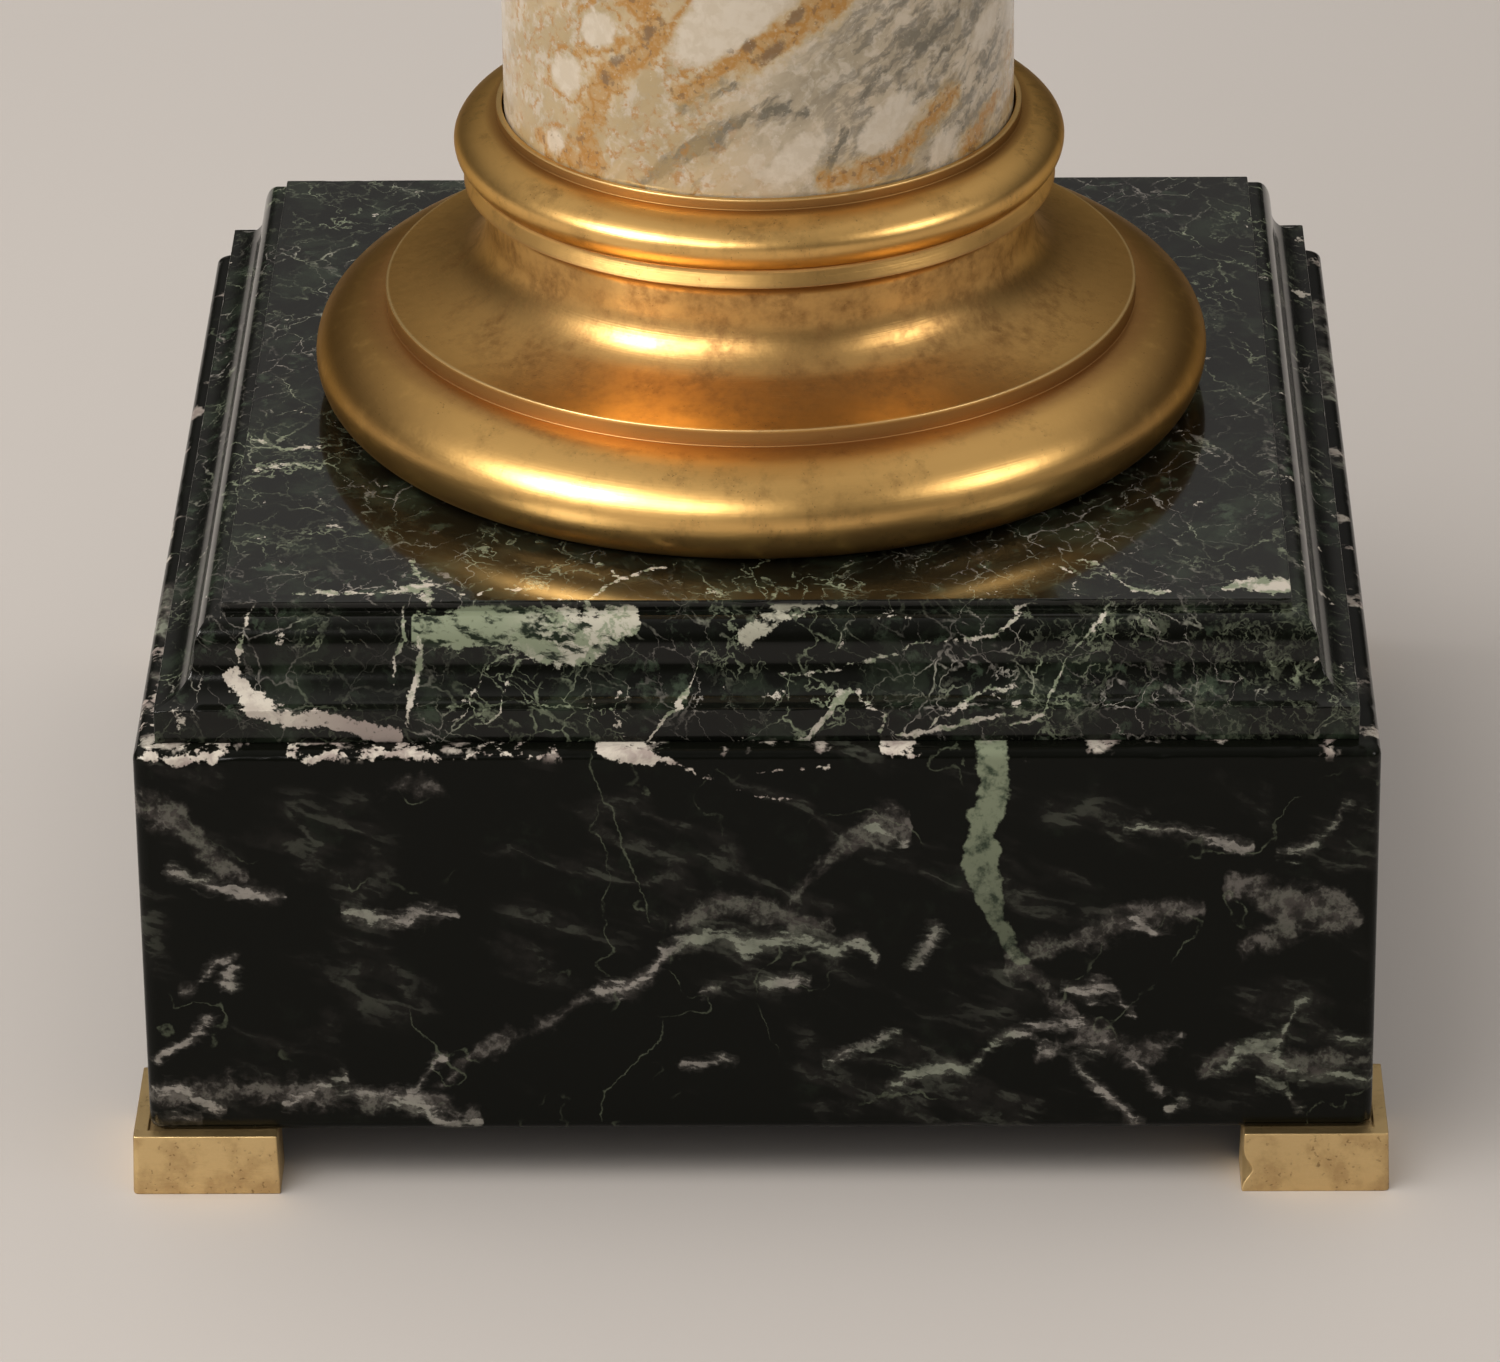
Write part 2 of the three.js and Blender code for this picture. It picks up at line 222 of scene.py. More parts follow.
class Colours(bpy.types.PropertyGroup):
    """Colours of the marbles, the bronzes and the stage."""

    ground: colour("Marble ground", "Near-black green of the plinth", 0.0036, 0.0040, 0.0028)
    leaf: colour("Marble green", "Mid green clouds in the marble", 0.017, 0.024, 0.015)
    moss: colour("Marble moss", "Brighter green blotches in the marble", 0.044, 0.062, 0.040)
    vein: colour("Green veins", "Pale green veins", 0.24, 0.275, 0.185)
    chalk: colour("White veins", "White patches and veins", 0.62, 0.57, 0.49)
    rose: colour("Rosy white", "Grey-pink end of the white patches", 0.36, 0.30, 0.27)
    wisp: colour("Wisps", "Smoky white wisps of the block", 0.36, 0.335, 0.30)
    lichen: colour("Grey-green wisps", "Greener wisps of the block", 0.27, 0.29, 0.225)
    mist: colour("Mist", "Mauve-grey mist in the block", 0.062, 0.055, 0.049)
    cream: colour("Breccia cream", "Cream ground of the shaft", 0.57, 0.475, 0.345)
    stone: colour("Breccia stone", "Beige-grey ground of the shaft", 0.40, 0.335, 0.235)
    milk: colour("Breccia white", "White clasts of the shaft", 0.70, 0.62, 0.505)
    slate: colour("Breccia grey", "Grey streaks of the shaft", 0.118, 0.108, 0.080)
    honey: colour("Breccia honey", "Golden stain round the ochre veins", 0.54, 0.375, 0.150)
    ochre: colour("Breccia ochre", "Ochre veins of the shaft", 0.44, 0.205, 0.035)
    umber: colour("Breccia brown", "Brown grains in the ochre", 0.17, 0.105, 0.055)
    gilt: colour("Gilding", "Satin gilding of the turned bronzes", 0.78, 0.475, 0.160)
    edge: colour("Gilding edge", "Tint of the gilding where it turns away", 0.42, 0.38, 0.33)
    # The rubbed gilding is laid on thin bands under edges: partly wear, partly a painted highlight
    rub_and_glint: colour("Rubbed gilding", "Bright gilding along rubbed edges", 0.88, 0.64, 0.30)
    # The deep gilding darkens the hollow bands: partly tarnished gilding, partly painted shade
    deep: colour("Deep gilding", "Browner gilding in the hollows", 0.50, 0.29, 0.105)
    # The patina colour is also laid as painted shade on the flanks and in corners
    patina_and_shade: colour("Patina", "Brown patina in the hollows", 0.26, 0.135, 0.048)
    # The red-brown crease colour is painted shade, with the reddish glow of bounced light, in the
    # creases between mouldings
    crease_shade_tint: colour("Copper", "Red-brown metal in the junctions", 0.42, 0.215, 0.085)
    foot: colour("Foot gilding", "Paler gilding of the feet", 0.66, 0.48, 0.235)
    dirt: colour("Foot specks", "Dark specks on the feet", 0.20, 0.125, 0.055)
    floor: colour("Floor", "Pale floor", 0.535, 0.505, 0.48)
    air: colour("Studio", "Light that fills the room", 0.50, 0.475, 0.45)


# Outlines


def arc(centre, reach, start, end, steps=40):
    """Centre + reach * (cos a, sin a), as the angle a runs from start to end degrees."""
    angle = np.radians(np.linspace(start, end, steps + 1))
    return np.column_stack([
        centre[0] + reach[0] * np.cos(angle),
        centre[1] + reach[1] * np.sin(angle)])


def smooth(values, reach, mode):
    """Moving average under a raised cosine that is 2 * reach + 1 samples wide."""
    weight = np.hanning(2 * reach + 3)[1:-1]
    weight /= weight.sum()
    options = {"reflect_type": "odd"} if mode == "reflect" else {}
    padded = np.pad(values, [(reach, reach)] + [(0, 0)] * (values.ndim - 1), mode, **options)
    return np.apply_along_axis(np.convolve, 0, padded, weight, "valid")


def worn_profile(points, wear, row, closed=False, turn=math.radians(10)):
    """An outline with rounded corners and a point wherever the shape needs one.

    The outline is walked at even steps and averaged over about the width of the wear.
    A point is kept for each `row` of length or `turn` of bend, with the bend spread a
    little so that flat stretches end close to a rounded corner. Returns the points,
    their outward normals and how much each lies on a worn outer edge, from 0 to 1.
    """
    corners = np.vstack(points)
    if closed:
        corners = np.vstack([corners, corners[:1]])
    walked = np.concatenate([[0.0], np.cumsum(np.hypot(*np.diff(corners, axis=0).T))])
    samples = int(walked[-1] / wear * 6)
    fine = np.linspace(0.0, walked[-1], samples, endpoint=not closed)
    line = np.column_stack([np.interp(fine, walked, corners[:, axis]) for axis in (0, 1)])
    mode = "wrap" if closed else "reflect"
    line = smooth(line, 7, mode)
    away = np.gradient(line, axis=0)
    length = np.hypot(*away.T)
    angle = np.unwrap(np.arctan2(away[:, 1], away[:, 0]))
    bend = np.gradient(angle)
    load = smooth(np.abs(bend), 16, "wrap" if closed else "edge") / turn + length / row
    total = np.concatenate([[0.0], np.cumsum(load)])[:-1]
    kept = np.unique(np.searchsorted(total, np.linspace(0.0, total[-1], int(total[-1]) + 1)))
    kept = kept[kept < samples]
    normals = np.column_stack([away[:, 1], -away[:, 0]]) / length[:, None]
    edge = np.clip(smooth(bend, 5, "edge") / length * wear * 1.4, 0.0, 1.0)
    return line[kept], normals[kept], edge[kept]


def lumps(points, scale, seed):
    """Smooth random values from -1 to 1.

    Each corner of a lattice with cells of the given scale has a hashed value, and the
    values are blended along the three axes by an eased share.
    """
    place = points / scale
    cell = np.floor(place)
    share = place - cell
    share = share * share * (3.0 - 2.0 * share)
    total = np.zeros(points.shape[:-1])
    for corner in itertools.product((0.0, 1.0), repeat=3):
        weight = np.prod(np.where(np.array(corner) > 0.5, share, 1.0 - share), axis=-1)
        key = np.sin((cell + corner) @ (12.9898, 78.233, 37.719) + seed) * 43758.5453
        total += weight * (2.0 * (key - np.floor(key)) - 1.0)
    return total


# Meshes


def make_piece(name, rings, material, node):
    """A closed surface over rings of points that ends in a pole at each side.

    Vertex (v, u) is point u of ring v, quads join neighbouring rings, and a fan joins
    the first and the last ring to their middle. The faces are turned round where the
    enclosed volume comes out negative.
    """
    count_v, count_u = rings.shape[:2]
    poles = [rings[0].mean(axis=0), rings[-1].mean(axis=0)]
    vertices = np.vstack([rings.reshape(-1, 3), poles])
    u = np.arange(count_u)
    following = (u + 1) % count_u
    rows = np.arange(count_v - 1)[:, None] * count_u
    quads = np.stack([
        rows + u, rows + following, rows + count_u + following, rows + count_u + u],
        axis=-1).reshape(-1, 4)
    last = (count_v - 1) * count_u
    foot = np.column_stack([following, u, np.full(count_u, count_v * count_u)])
    head = np.column_stack([last + u, last + following, np.full(count_u, count_v * count_u + 1)])
    corners = np.vstack([quads[:, [0, 1, 2]], quads[:, [0, 2, 3]], foot, head])
    middle = vertices.mean(axis=0)
    a, b, c = (vertices[corners[:, k]] - middle for k in range(3))
    if np.einsum("ij,ij->", a, np.cross(b, c)) < 0.0:
        quads, foot, head = quads[:, ::-1], foot[:, ::-1], head[:, ::-1]
    mesh = bpy.data.meshes.new(name)
    mesh.from_pydata(vertices, [], quads.tolist() + foot.tolist() + head.tolist())
    mesh.polygons.foreach_set("use_smooth", np.ones(len(mesh.polygons), dtype=bool))
    mesh.set_sharp_from_angle(angle=SHARP)
    mesh.materials.append(material)
    piece = bpy.data.objects.new(name, mesh)
    bpy.context.collection.objects.link(piece)
    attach(piece, "root")
    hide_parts(node)
    return piece


def turned(profile, steps):
    """Point (r, z) of the profile at the angle a lies at (r cos a, r sin a, z)."""
    points, normals = profile[:2]
    angle = np.linspace(0.0, 2.0 * np.pi, steps, endpoint=False)
    around = np.stack([np.cos(angle), np.sin(angle)], axis=-1)

    def swept(pairs):
        flat = pairs[:, None, :1] * around
        return np.dstack([flat, np.broadcast_to(pairs[:, 1:], flat.shape[:2])])

    return swept(points), swept(normals)


def squared(profile, radius, side_steps, turn_steps=6):
    """The profile (out, z) carried round a square with small round corners.

    K runs along the sides of a unit square and N, the way outwards, turns at its
    corners: a point lies at (out - radius) * K + radius * N, at the height z.
    """
    points, normals = profile[:2]
    near = np.array([1.0, 0.9985, 0.996])
    along = np.concatenate([-near, np.linspace(-0.99, 0.99, side_steps), near[::-1]])
    turn = np.linspace(0.0, np.pi / 2.0, turn_steps + 1)[1:-1]
    corner = np.vstack([
        np.column_stack([along, -np.ones_like(along)]),
        np.tile([1.0, -1.0], (len(turn), 1))])
    way = np.vstack([
        np.tile([0.0, -1.0], (len(along), 1)),
        np.column_stack([np.sin(turn), -np.cos(turn)])])
    turns = [np.linalg.matrix_power(QUARTER, side) for side in range(4)]
    corner = np.vstack([corner @ turn for turn in turns])
    way = np.vstack([way @ turn for turn in turns])
    flat = (points[:, None, :1] - radius) * corner + radius * way
    tilt = normals[:, None, :1] * way
    return (
        np.dstack([flat, np.broadcast_to(points[:, 1:], flat.shape[:2])]),
        np.dstack([tilt, np.broadcast_to(normals[:, 1:], flat.shape[:2])]))


def chipped(rings, normals, edge, depth, seed):
    """Small chips along worn edges: where a fine and a coarse lump meet, the edge sinks."""
    coarse = lumps(rings, 11.0 * MM, seed)
    fine = lumps(rings, 2.6 * MM, seed + 3.0)
    sunk = np.clip(0.8 * coarse + 0.55 * fine - 0.42, 0.0, 1.0) * edge[:, None]
    wave = 0.04 * (1.0 + lumps(rings, 6.0 * MM, seed + 7.0)) * edge[:, None]
    return rings - normals * (depth * (sunk + wave))[..., None]


def dented(rings, normals, place, width, depth):
    """A round dent that sinks by depth * exp(-(distance / width) ** 2)."""
    distance = np.linalg.norm(rings - np.array(place), axis=-1)
    return rings - normals * (depth * np.exp(-(distance / width) ** 2))[..., None]


# Shader sums

# Millimetres: finest noise, the ends of a stroke, and the shaft's radius at its foot
FINEST = 0.38
STROKE_FADE = 3.0
STROKE_DEPTH = 8.0
SHAFT_FRONT = 72.3


class Value:
    """A node's output that takes part in sums: each operator adds one maths node."""

    def __init__(self, nodes, socket):
        self.nodes = nodes
        self.socket = socket

    def __add__(self, other):
        return self.nodes.sum("ADD", self, other)

    def __sub__(self, other):
        return self.nodes.sum("SUBTRACT", self, other)

    def __rsub__(self, other):
        return self.nodes.sum("SUBTRACT", other, self)

    def __mul__(self, other):
        return self.nodes.sum("MULTIPLY", self, other)

    def __truediv__(self, other):
        return self.nodes.sum("DIVIDE", self, other)

    def __pow__(self, other):
        return self.nodes.sum("POWER", self, other)

    def __abs__(self):
        return self.nodes.sum("ABSOLUTE", self)

    def __or__(self, other):
        """The greater of two values."""
        return self.nodes.sum("MAXIMUM", self, other)

    __radd__ = __add__
    __rmul__ = __mul__


class Nodes:
    """Adds nodes to a node tree, as values that take part in sums."""

    def __init__(self, tree):
        self.tree = tree

    def feed(self, socket, value):
        """Link a value, or set a constant, widened to what the socket holds."""
        if isinstance(value, Value):
            self.tree.links.new(value.socket, socket)
            return
        if socket.type == "VECTOR" and isinstance(value, (int, float)):
            value = (value,) * 3
        if socket.type == "RGBA":
            value = (*tuple(value)[:3], 1.0)
        socket.default_value = value

    def node(self, kind, inputs=None, output=0, points=None, **settings):
        """A node of any kind: its settings first, then its sockets."""
        made = self.tree.nodes.new(kind)
        for name, value in settings.items():
            setattr(made, name, value)
        if points:
            curve = made.mapping.curves[0]
            for place in points[1:-1]:
                curve.points.new(*place)
            curve.points[0].location = points[0]
            curve.points[-1].location = points[-1]
            for point in curve.points:
                point.handle_type = "AUTO_CLAMPED"
            made.mapping.update()
        for key, value in (inputs or {}).items():
            self.feed(made.inputs[key], value)
        return Value(self, made.outputs[output])

    def sum(self, operation, *terms):
        """One Math node, or Vector Math where a term is a vector."""
        vector = any(
            isinstance(term, tuple)
            or isinstance(term, Value) and term.socket.type in {"VECTOR", "RGBA"}
            for term in terms)
        kind = "ShaderNodeVectorMath" if vector else "ShaderNodeMath"
        return self.node(kind, dict(enumerate(terms)), operation=operation)

    def split(self, vector):
        parts = self.node("ShaderNodeSeparateXYZ", {0: vector}).socket.node.outputs
        return [Value(self, socket) for socket in parts]

    def join(self, x, y, z):
        return self.node("ShaderNodeCombineXYZ", {0: x, 1: y, 2: z})

    def step(self, value, low, high):
        """0 up to low and 1 from high, with a smooth rise, or a fall if low is higher."""
        return self.node(
            "ShaderNodeMapRange", {"Value": value, "From Min": low, "From Max": high},
            interpolation_type="SMOOTHSTEP")


class Finish(Nodes):
    """A Principled material with the nodes that colour it, in millimetres."""

    def __init__(self, name, ground, **constants):
        self.material = bpy.data.materials.new(name)
        self.material.use_nodes = True
        super().__init__(self.material.node_tree)
        self.shader = self.tree.nodes["Principled BSDF"]
        self.paint(**constants)
        self.colour = ground
        self.at = self.node("ShaderNodeTexCoord", output="Object") / MM
        self.x, self.y, self.z = self.split(self.at)

    def paint(self, **values):
        """Feed sockets of the shader, with _ for the spaces in their names."""
        for socket, value in values.items():
            self.feed(self.shader.inputs[socket.replace("_", " ")], value)

    def finished(self, **values):
        """The material, with its colour and these last values fed."""
        self.paint(Base_Color=self.colour, **values)
        return self.material

    def blend(self, share, under, over):
        return self.node("ShaderNodeMix", {0: share, 6: under, 7: over}, 2, data_type="RGBA")

    def lay(self, share, colour):
        """Lay a colour over the ones so far."""
        self.colour = self.blend(share, self.colour, colour)

    def noise(self, grain, detail=3.0, seed=0.0, at=None, rough=0.5, output="Fac"):
        """Cloudy noise whose lumps are about `grain` millimetres wide.

        Octaves finer than FINEST millimetres can't be seen, so they are left out.
        """
        place = (at or self.at) + (seed, seed * 1.7, -seed)
        detail = min(detail, max(0.0, math.log2(grain / FINEST)))
        return self.node("ShaderNodeTexNoise", {
            "Vector": place, "Scale": 1.0 / grain, "Detail": detail, "Roughness": rough},
            output)

    def warp(self, reach, grain, detail=4.0, seed=0.0, at=None, rough=0.55):
        """The position pushed about by up to half of `reach` in each direction."""
        push = self.noise(grain, detail, seed, at, rough, "Color")
        return (at or self.at) + (push - (0.5, 0.5, 0.5)) * reach

    def crack(self, at, cell, width):
        """Lines `width` wide between the cells of a Voronoi pattern."""
        edge = self.node(
            "ShaderNodeTexVoronoi", {"Vector": at, "Scale": 1.0 / cell},
            feature="DISTANCE_TO_EDGE")
        return self.step(edge, 0.5 * width / cell, 0.12 * width / cell)

    def thread(self, at, grain, width, seed, detail=4.0):
        """Wandering lines where a noise passes through its middle value."""
        noise = self.noise(grain, detail, seed, at, 0.55)
        return self.step(abs(noise - 0.5), 0.9 * width / grain, 0.2 * width / grain)

    def strokes(self, run, across, lines):
        """How many millimetres inside the nearest stroke a place lies, negative outside.

        A stroke's points are (along, across, half width). Curves through them give its
        middle and its half width, and it fades out just past its two ends. Strokes that
        don't overlap along the run share one pair of curves.
        """
        rows = []
        for points in sorted(lines):
            free = [row for row in rows if points[0][0] > row[-1][0] + 2.0 * STROKE_FADE]
            row = free[0] if free else []
            if not free:
                rows.append(row)
            row.append((points[0][0] - STROKE_FADE, points[0][1], -STROKE_DEPTH))
            row += points
            row.append((points[-1][0] + STROKE_FADE, points[-1][1], -STROKE_DEPTH))
        return chain([self.ribbon(run, across, row) for row in rows])

    def ribbon(self, run, across, points):
        """How many millimetres inside one ribbon of (along, across, half width) a place lies."""
        along, middle, reach = np.array(points, dtype=float).T
        share = (along - along[0]) / (along[-1] - along[0])
        place = self.node("ShaderNodeMapRange", {
            "Value": run, "From Min": float(along[0]), "From Max": float(along[-1])})

        def follow(values):
            low, high = float(values.min()) - 0.5, float(values.max()) + 0.5
            heights = (values - low) / (high - low)
            curve = self.node(
                "ShaderNodeFloatCurve", {"Value": place},
                points=list(zip(share.tolist(), heights.tolist())))
            return curve * (high - low) + low

        return follow(reach) - abs(across - follow(middle))

    def clasts(self, at, places, slant):
        """How many millimetres inside the nearest of several slanting pebbles."""
        turned_at = self.node(
            "ShaderNodeVectorRotate", {"Vector": at, "Axis": (0.0, 1.0, 0.0), "Angle": slant},
            rotation_type="AXIS_ANGLE")
        turn = Matrix.Rotation(slant, 3, "Y")
        fields = []
        for x, z, length, width in places:
            depth = -math.sqrt(max(SHAFT_FRONT ** 2 - x * x, 0.0))
            scaled = (turned_at - tuple(turn @ Vector((x, depth, z)))) / (
                length, (length + width) / 2.0, width)
            distance = self.node(
                "ShaderNodeVectorMath", {0: scaled}, 1, operation="LENGTH")
            fields.append((1.0 - distance) * width)
        return chain(fields)

    def sheets(self, at, normal, stretch):
        """Coordinates drawn out by `stretch` along every direction but the normal."""
        first = Vector(normal).normalized()
        second = first.orthogonal().normalized()
        parts = [
            self.node("ShaderNodeVectorMath", {0: at, 1: tuple(axis)}, 1, operation="DOT_PRODUCT")
            for axis in (first, second / stretch, first.cross(second) / stretch)]
        return self.join(*parts)

    def frayed(self, field, noise, fray, low, high):
        """A mask that rises from low to high inside a field frayed by a noise."""
        return self.step(field + (noise - 0.5) * fray, low, high)

    def bump(self, height, distance):
        """Feed the shader's normal from a height in shares of `distance`."""
        normal = self.node("ShaderNodeBump", {
            "Height": height, "Distance": distance, "Strength": 1.0})
        self.paint(Normal=normal)


# Strokes that the eye picks out on the front of the plinth, as (along, across, half
# width) in millimetres. They run along X or along Z on the block and the slab's
# mouldings, and along X or along Y on the slab's top.

BLOCK_WISPS_X = [
    [(-161, 99, 0.6), (-154, 96, 1), (-130, 91, 0.2)],
    [(-114, 86.5, 0), (-107, 85, 1.4), (-100, 83.5, 1.3), (-90, 86.5, 1), (-82, 86, 0)],
    [(-167, 31, 0.6), (-159, 29.5, 1.4), (-149, 24.5, 1)],
    [(-169, 20, 1), (-163, 22, 0.8), (-155, 21.5, 0)],
    [(-159, 62, 0), (-153, 67, 0.4), (-144, 72.5, 0.4)],
    [(-133, 26, 0), (-127, 28.5, 1.2), (-120, 32.5, 0.6), (-114, 34, 0)],
    [(-118, 29, 0.2), (-99, 27, 1.2), (-93, 24.5, 2), (-88, 20.5, 1.2), (-78, 19.5, 0.6)],
    [(-98, 29.5, 0.4), (-93, 34, 0.6), (-87, 39.5, 0.8)],
    [(-45, 61, 1.2), (-38, 62, 0.8), (-31, 65.5, 1.6), (-26, 72.5, 2), (-20, 76.5, 1.6),
     (-9, 78.5, 1.6), (-3, 75, 3), (3, 76.5, 1.6), (11, 77, 0.9), (20, 74, 1.6), (28, 77, 1.3),
     (33, 71, 0.6)],
    [(-16, 61.5, 0.2), (-11, 62.5, 0.4)],
    [(0, 63, 0.4), (8, 64.5, 1.4), (15, 64.5, 1)],
    [(-22, 37.5, 0), (-14, 39, 0.3), (-6, 39.5, 0)],
    [(100, 112, 0), (121, 109, 0.5), (128, 107, 0.9), (135, 105.5, 0.3)],
    [(17, 39.5, 0), (25, 42.5, 0.7), (33, 45.5, 0.7), (40, 47.5, 0)],
    [(35, 31, 0.2), (48, 36.5, 1.5), (57, 36.5, 1), (65, 45, 0.4), (80, 50, 0.8), (90, 51, 0.3)],
    [(77, 42, 0.4), (85, 43, 0.6), (96, 42.5, 0.2)],
    [(110, 43, 0.4), (118, 46.5, 0)],
    [(124, 35, 0.2), (130, 38, 1.2), (136, 43.5, 2.4), (141, 44, 1.8), (146, 50, 1),
     (151, 58, 0.4)],
    [(150, 33, 0), (157, 35, 0.3), (169, 32.5, 0.5)],
    [(158, 46.5, 0), (168, 44, 0.3)],
    [(142, 104, 0), (158, 113, 0.4), (162, 118.5, 0.2)],
    [(83, 63.5, 0.2), (89, 61, 1), (95, 62, 2.2), (99, 60, 0.6), (104, 54, 0)],
    [(113, 23.5, 0.2), (118, 26, 0.8)],
    [(138, 32, 0.4), (145, 31, 0.7), (150, 24.5, 0.3)],
]
BLOCK_WISPS_Z = [
    [(62, -145, 0.4), (67, -146, 1), (70, -144, 0.2)],
    [(40, -166.5, 0.6), (45, -159.5, 1), (51, -153.5, 1), (54, -152, 0.2)],
    [(68, 42.5, 0.6), (74, 46, 1.4), (82, 48.5, 0.5)],
    [(19, 103.5, 0.2), (28, 96, 0.7), (41, 87, 0.2)],
    [(28, 111, 0.2), (36, 106.5, 0.8), (40, 102.5, 0.3)],
    [(34, 148, 0.2), (38, 144, 0.5), (44, 143, 0.6)],
    [(106, 40, 0.4), (111, 34.5, 1.4), (113, 31, 0.4)],
    [(78, 109, 0), (80, 107, 1.4), (84, 104, 0.2)],
]
BLOCK_CLOUDS = [
    [(8, 89.5, 1), (14, 95.5, 2), (20, 103, 3), (27, 109, 5), (36, 113, 6), (42, 112, 3)],
    [(-24, 82, 1), (-8, 89, 3), (7, 84, 3), (20, 82, 2)],
    [(128, 94, 1), (136, 93, 3.4), (146, 87, 6), (156, 86, 6), (164, 84, 3)],
    [(132, 76, 1), (142, 77.5, 4), (152, 80, 2)],
    [(72, 72.5, 2), (85, 76.5, 3.4), (112, 85, 3), (122, 86.5, 1)],
    [(68, 70, 3), (77, 64.5, 4), (83, 57.5, 2.6), (88, 54, 0)],
    [(76, 41, 2), (92, 46, 4), (104, 42, 4), (118, 44, 2)],
    [(120, 36, 1), (134, 42, 4), (146, 38, 4), (160, 40, 3), (170, 38, 2)],
    [(-170, 119, 4), (-162, 117, 6), (-152, 108, 5), (-140, 99, 1)],
    [(-104, 124, 1), (-94, 126, 2.4), (-84, 124, 0)],
    [(-93, 31, 1), (-79, 42, 2), (-58, 51, 2), (-45, 59, 1)],
    [(-168, 28, 3), (-144, 31, 4), (-118, 29, 3), (-92, 27, 4), (-78, 22, 1)],
]
BLOCK_HAIRS_Z = [
    [(83, -29.5, 0), (98, -34.5, 0.1), (115, -38.5, 0.1), (134, -45, 0)],
    [(20, -44, 0), (40, -33, 0.1), (52, -26, 0)],
]
BLOCK_GREEN_VEIN = [
    (71, 72, 2.6), (74, 70, 2), (97, 62, 4.6), (105, 61, 5), (110, 62, 3.3), (117, 62.5, 4.7),
    (123, 65, 4), (133, 64, 4.3), (140, 64, 3.6)]
SHELF_CHALK = [
    [(-168, 134.5, 0.6), (-160, 133.5, 1.6), (-149, 134, 1.6), (-143, 135.5, 0)],
    [(-128, 134.5, 0.6), (-122, 134, 1.4), (-113, 134.5, 0.8), (-90, 134.5, 1.2), (-82, 133.5, 0.6),
     (-72, 135, 0.5), (-60, 134.5, 0.7), (-54, 135, 0)],
    [(-44, 135, 0.8), (-34, 134, 2.2), (-25, 133, 1.6), (-18, 130.5, 0.5), (-10, 127.5, 0.1)],
    [(-7, 123.5, 0), (2, 122, 0.1), (9, 121, 0)],
    [(0, 129.5, 0), (9, 130, 0.3), (20, 130.5, 0)],
    [(33, 135.5, 0.4), (39, 134.5, 1.6), (44, 134.5, 0.4)],
]
SLAB_GREEN_BAND = [
    (-94, 163, 3), (-84, 162.5, 4), (-76, 164.5, 4.4), (-69, 164.5, 4.6), (-61, 161.5, 6),
    (-52, 160.5, 6.8), (-45, 161, 6), (-39, 164, 4.8), (-33, 165.5, 2.4)]
SLAB_CHALK = [
    [(-145, 151.5, 1.2), (-140, 149, 3), (-136, 145.5, 2.4), (-127, 143, 1.9), (-118, 142.5, 2.6),
     (-101, 138, 2.6), (-97, 137.5, 2)],
    [(-5, 161.5, 1.2), (0, 163, 2.6), (13, 168, 1), (22, 168, 0.4)],
    [(-126, 170.5, 0.4), (-114, 170.5, 0.5), (-101, 170.5, 0.4)],
]
SLAB_TWIGS_X = [
    [(7, 151.5, 0.2), (35, 156, 0.3), (45, 160, 0.4), (64, 161.5, 0.5), (76, 168.5, 0.4)],
    [(44, 138.5, 0.3), (50, 143, 0.4), (71, 148.5, 0.4)],
    [(-76, 141, 0.2), (-68, 149, 0.5), (-61, 156, 0.4)],
    [(-83, 142, 0.2), (-77, 148, 0.3), (-63, 157.5, 0.3)],
    [(8, 134.5, 0.6), (16, 139.5, 1.3), (28, 147.5, 0.4)],
    [(38, 137.5, 0.4), (51, 139.5, 0.9), (73, 143.5, 0.1)],
    [(69, 140.5, 0.3), (91, 162.5, 0.6), (106, 173, 0.3)],
    [(-34, 133.5, 0.4), (-26, 141.5, 1), (-17, 150, 0.5), (-13, 158.5, 0.3)],
]
SLAB_TWIGS_Z = [
    [(150, -98.5, 0.2), (155, -99, 0.3), (161, -96, 0.6), (171, -96, 0.3)],
    [(140, -95, 0.3), (158, -91.5, 1), (162, -92, 0.6)],
    [(137, 34, 0.3), (143, 35, 0.5), (148, 27.5, 0.3)],
    [(156, -141, 0.7), (166, -138.5, 0.5), (170, -137, 0.2)],
]
TOP_TWIGS_X = [
    [(-126, -141, 0.4), (-114, -140, 1), (-108, -141, 0.2), (-101, -140, 0.6), (-92, -137.5, 3),
     (-87, -135, 0.8), (-78, -142.5, 0.4), (-70, -138, 0.3), (-61, -143, 0.3), (-52, -145, 0.5)],
    [(-48, -146, 0.4), (-42, -138, 0.9), (-35, -130.5, 1), (-25, -125.5, 0.8)],
    [(-44, -123, 0.4), (-36, -132, 0.7)],
    [(-14, -139, 1), (-10, -142.5, 1.6)],
    [(88, -121.5, 0.6), (108, -141.5, 1.3), (113, -141.5, 0.5)],
    [(-145, -41, 0.6), (-134, -47, 0.9), (-124, -46, 0.3)],
    [(-143, -61, 0.3), (-132, -58, 0.8), (-124, -60, 0.3)],
    [(127, -140, 1.6), (134, -136.5, 3.2), (139, -138, 5), (146, -138, 4)],
]
TOP_TWIGS_Y = [
    [(-145, -89.5, 1.6), (-130, -92.5, 1.2), (-120, -95, 0.5)],
    [(-143, 86.5, 0.4), (-133, 87.5, 0.4), (-122, 81, 0.2)],
]
# A straight seam, and a leaning band of fine lace on the slab's front
SEAM_X = -93.8
LACE_X = 74.0
LACE_Z = 138.0
LACE_LEAN = 0.9

# The same on the front of the shaft, and its clasts as (x, z, half length, half width)

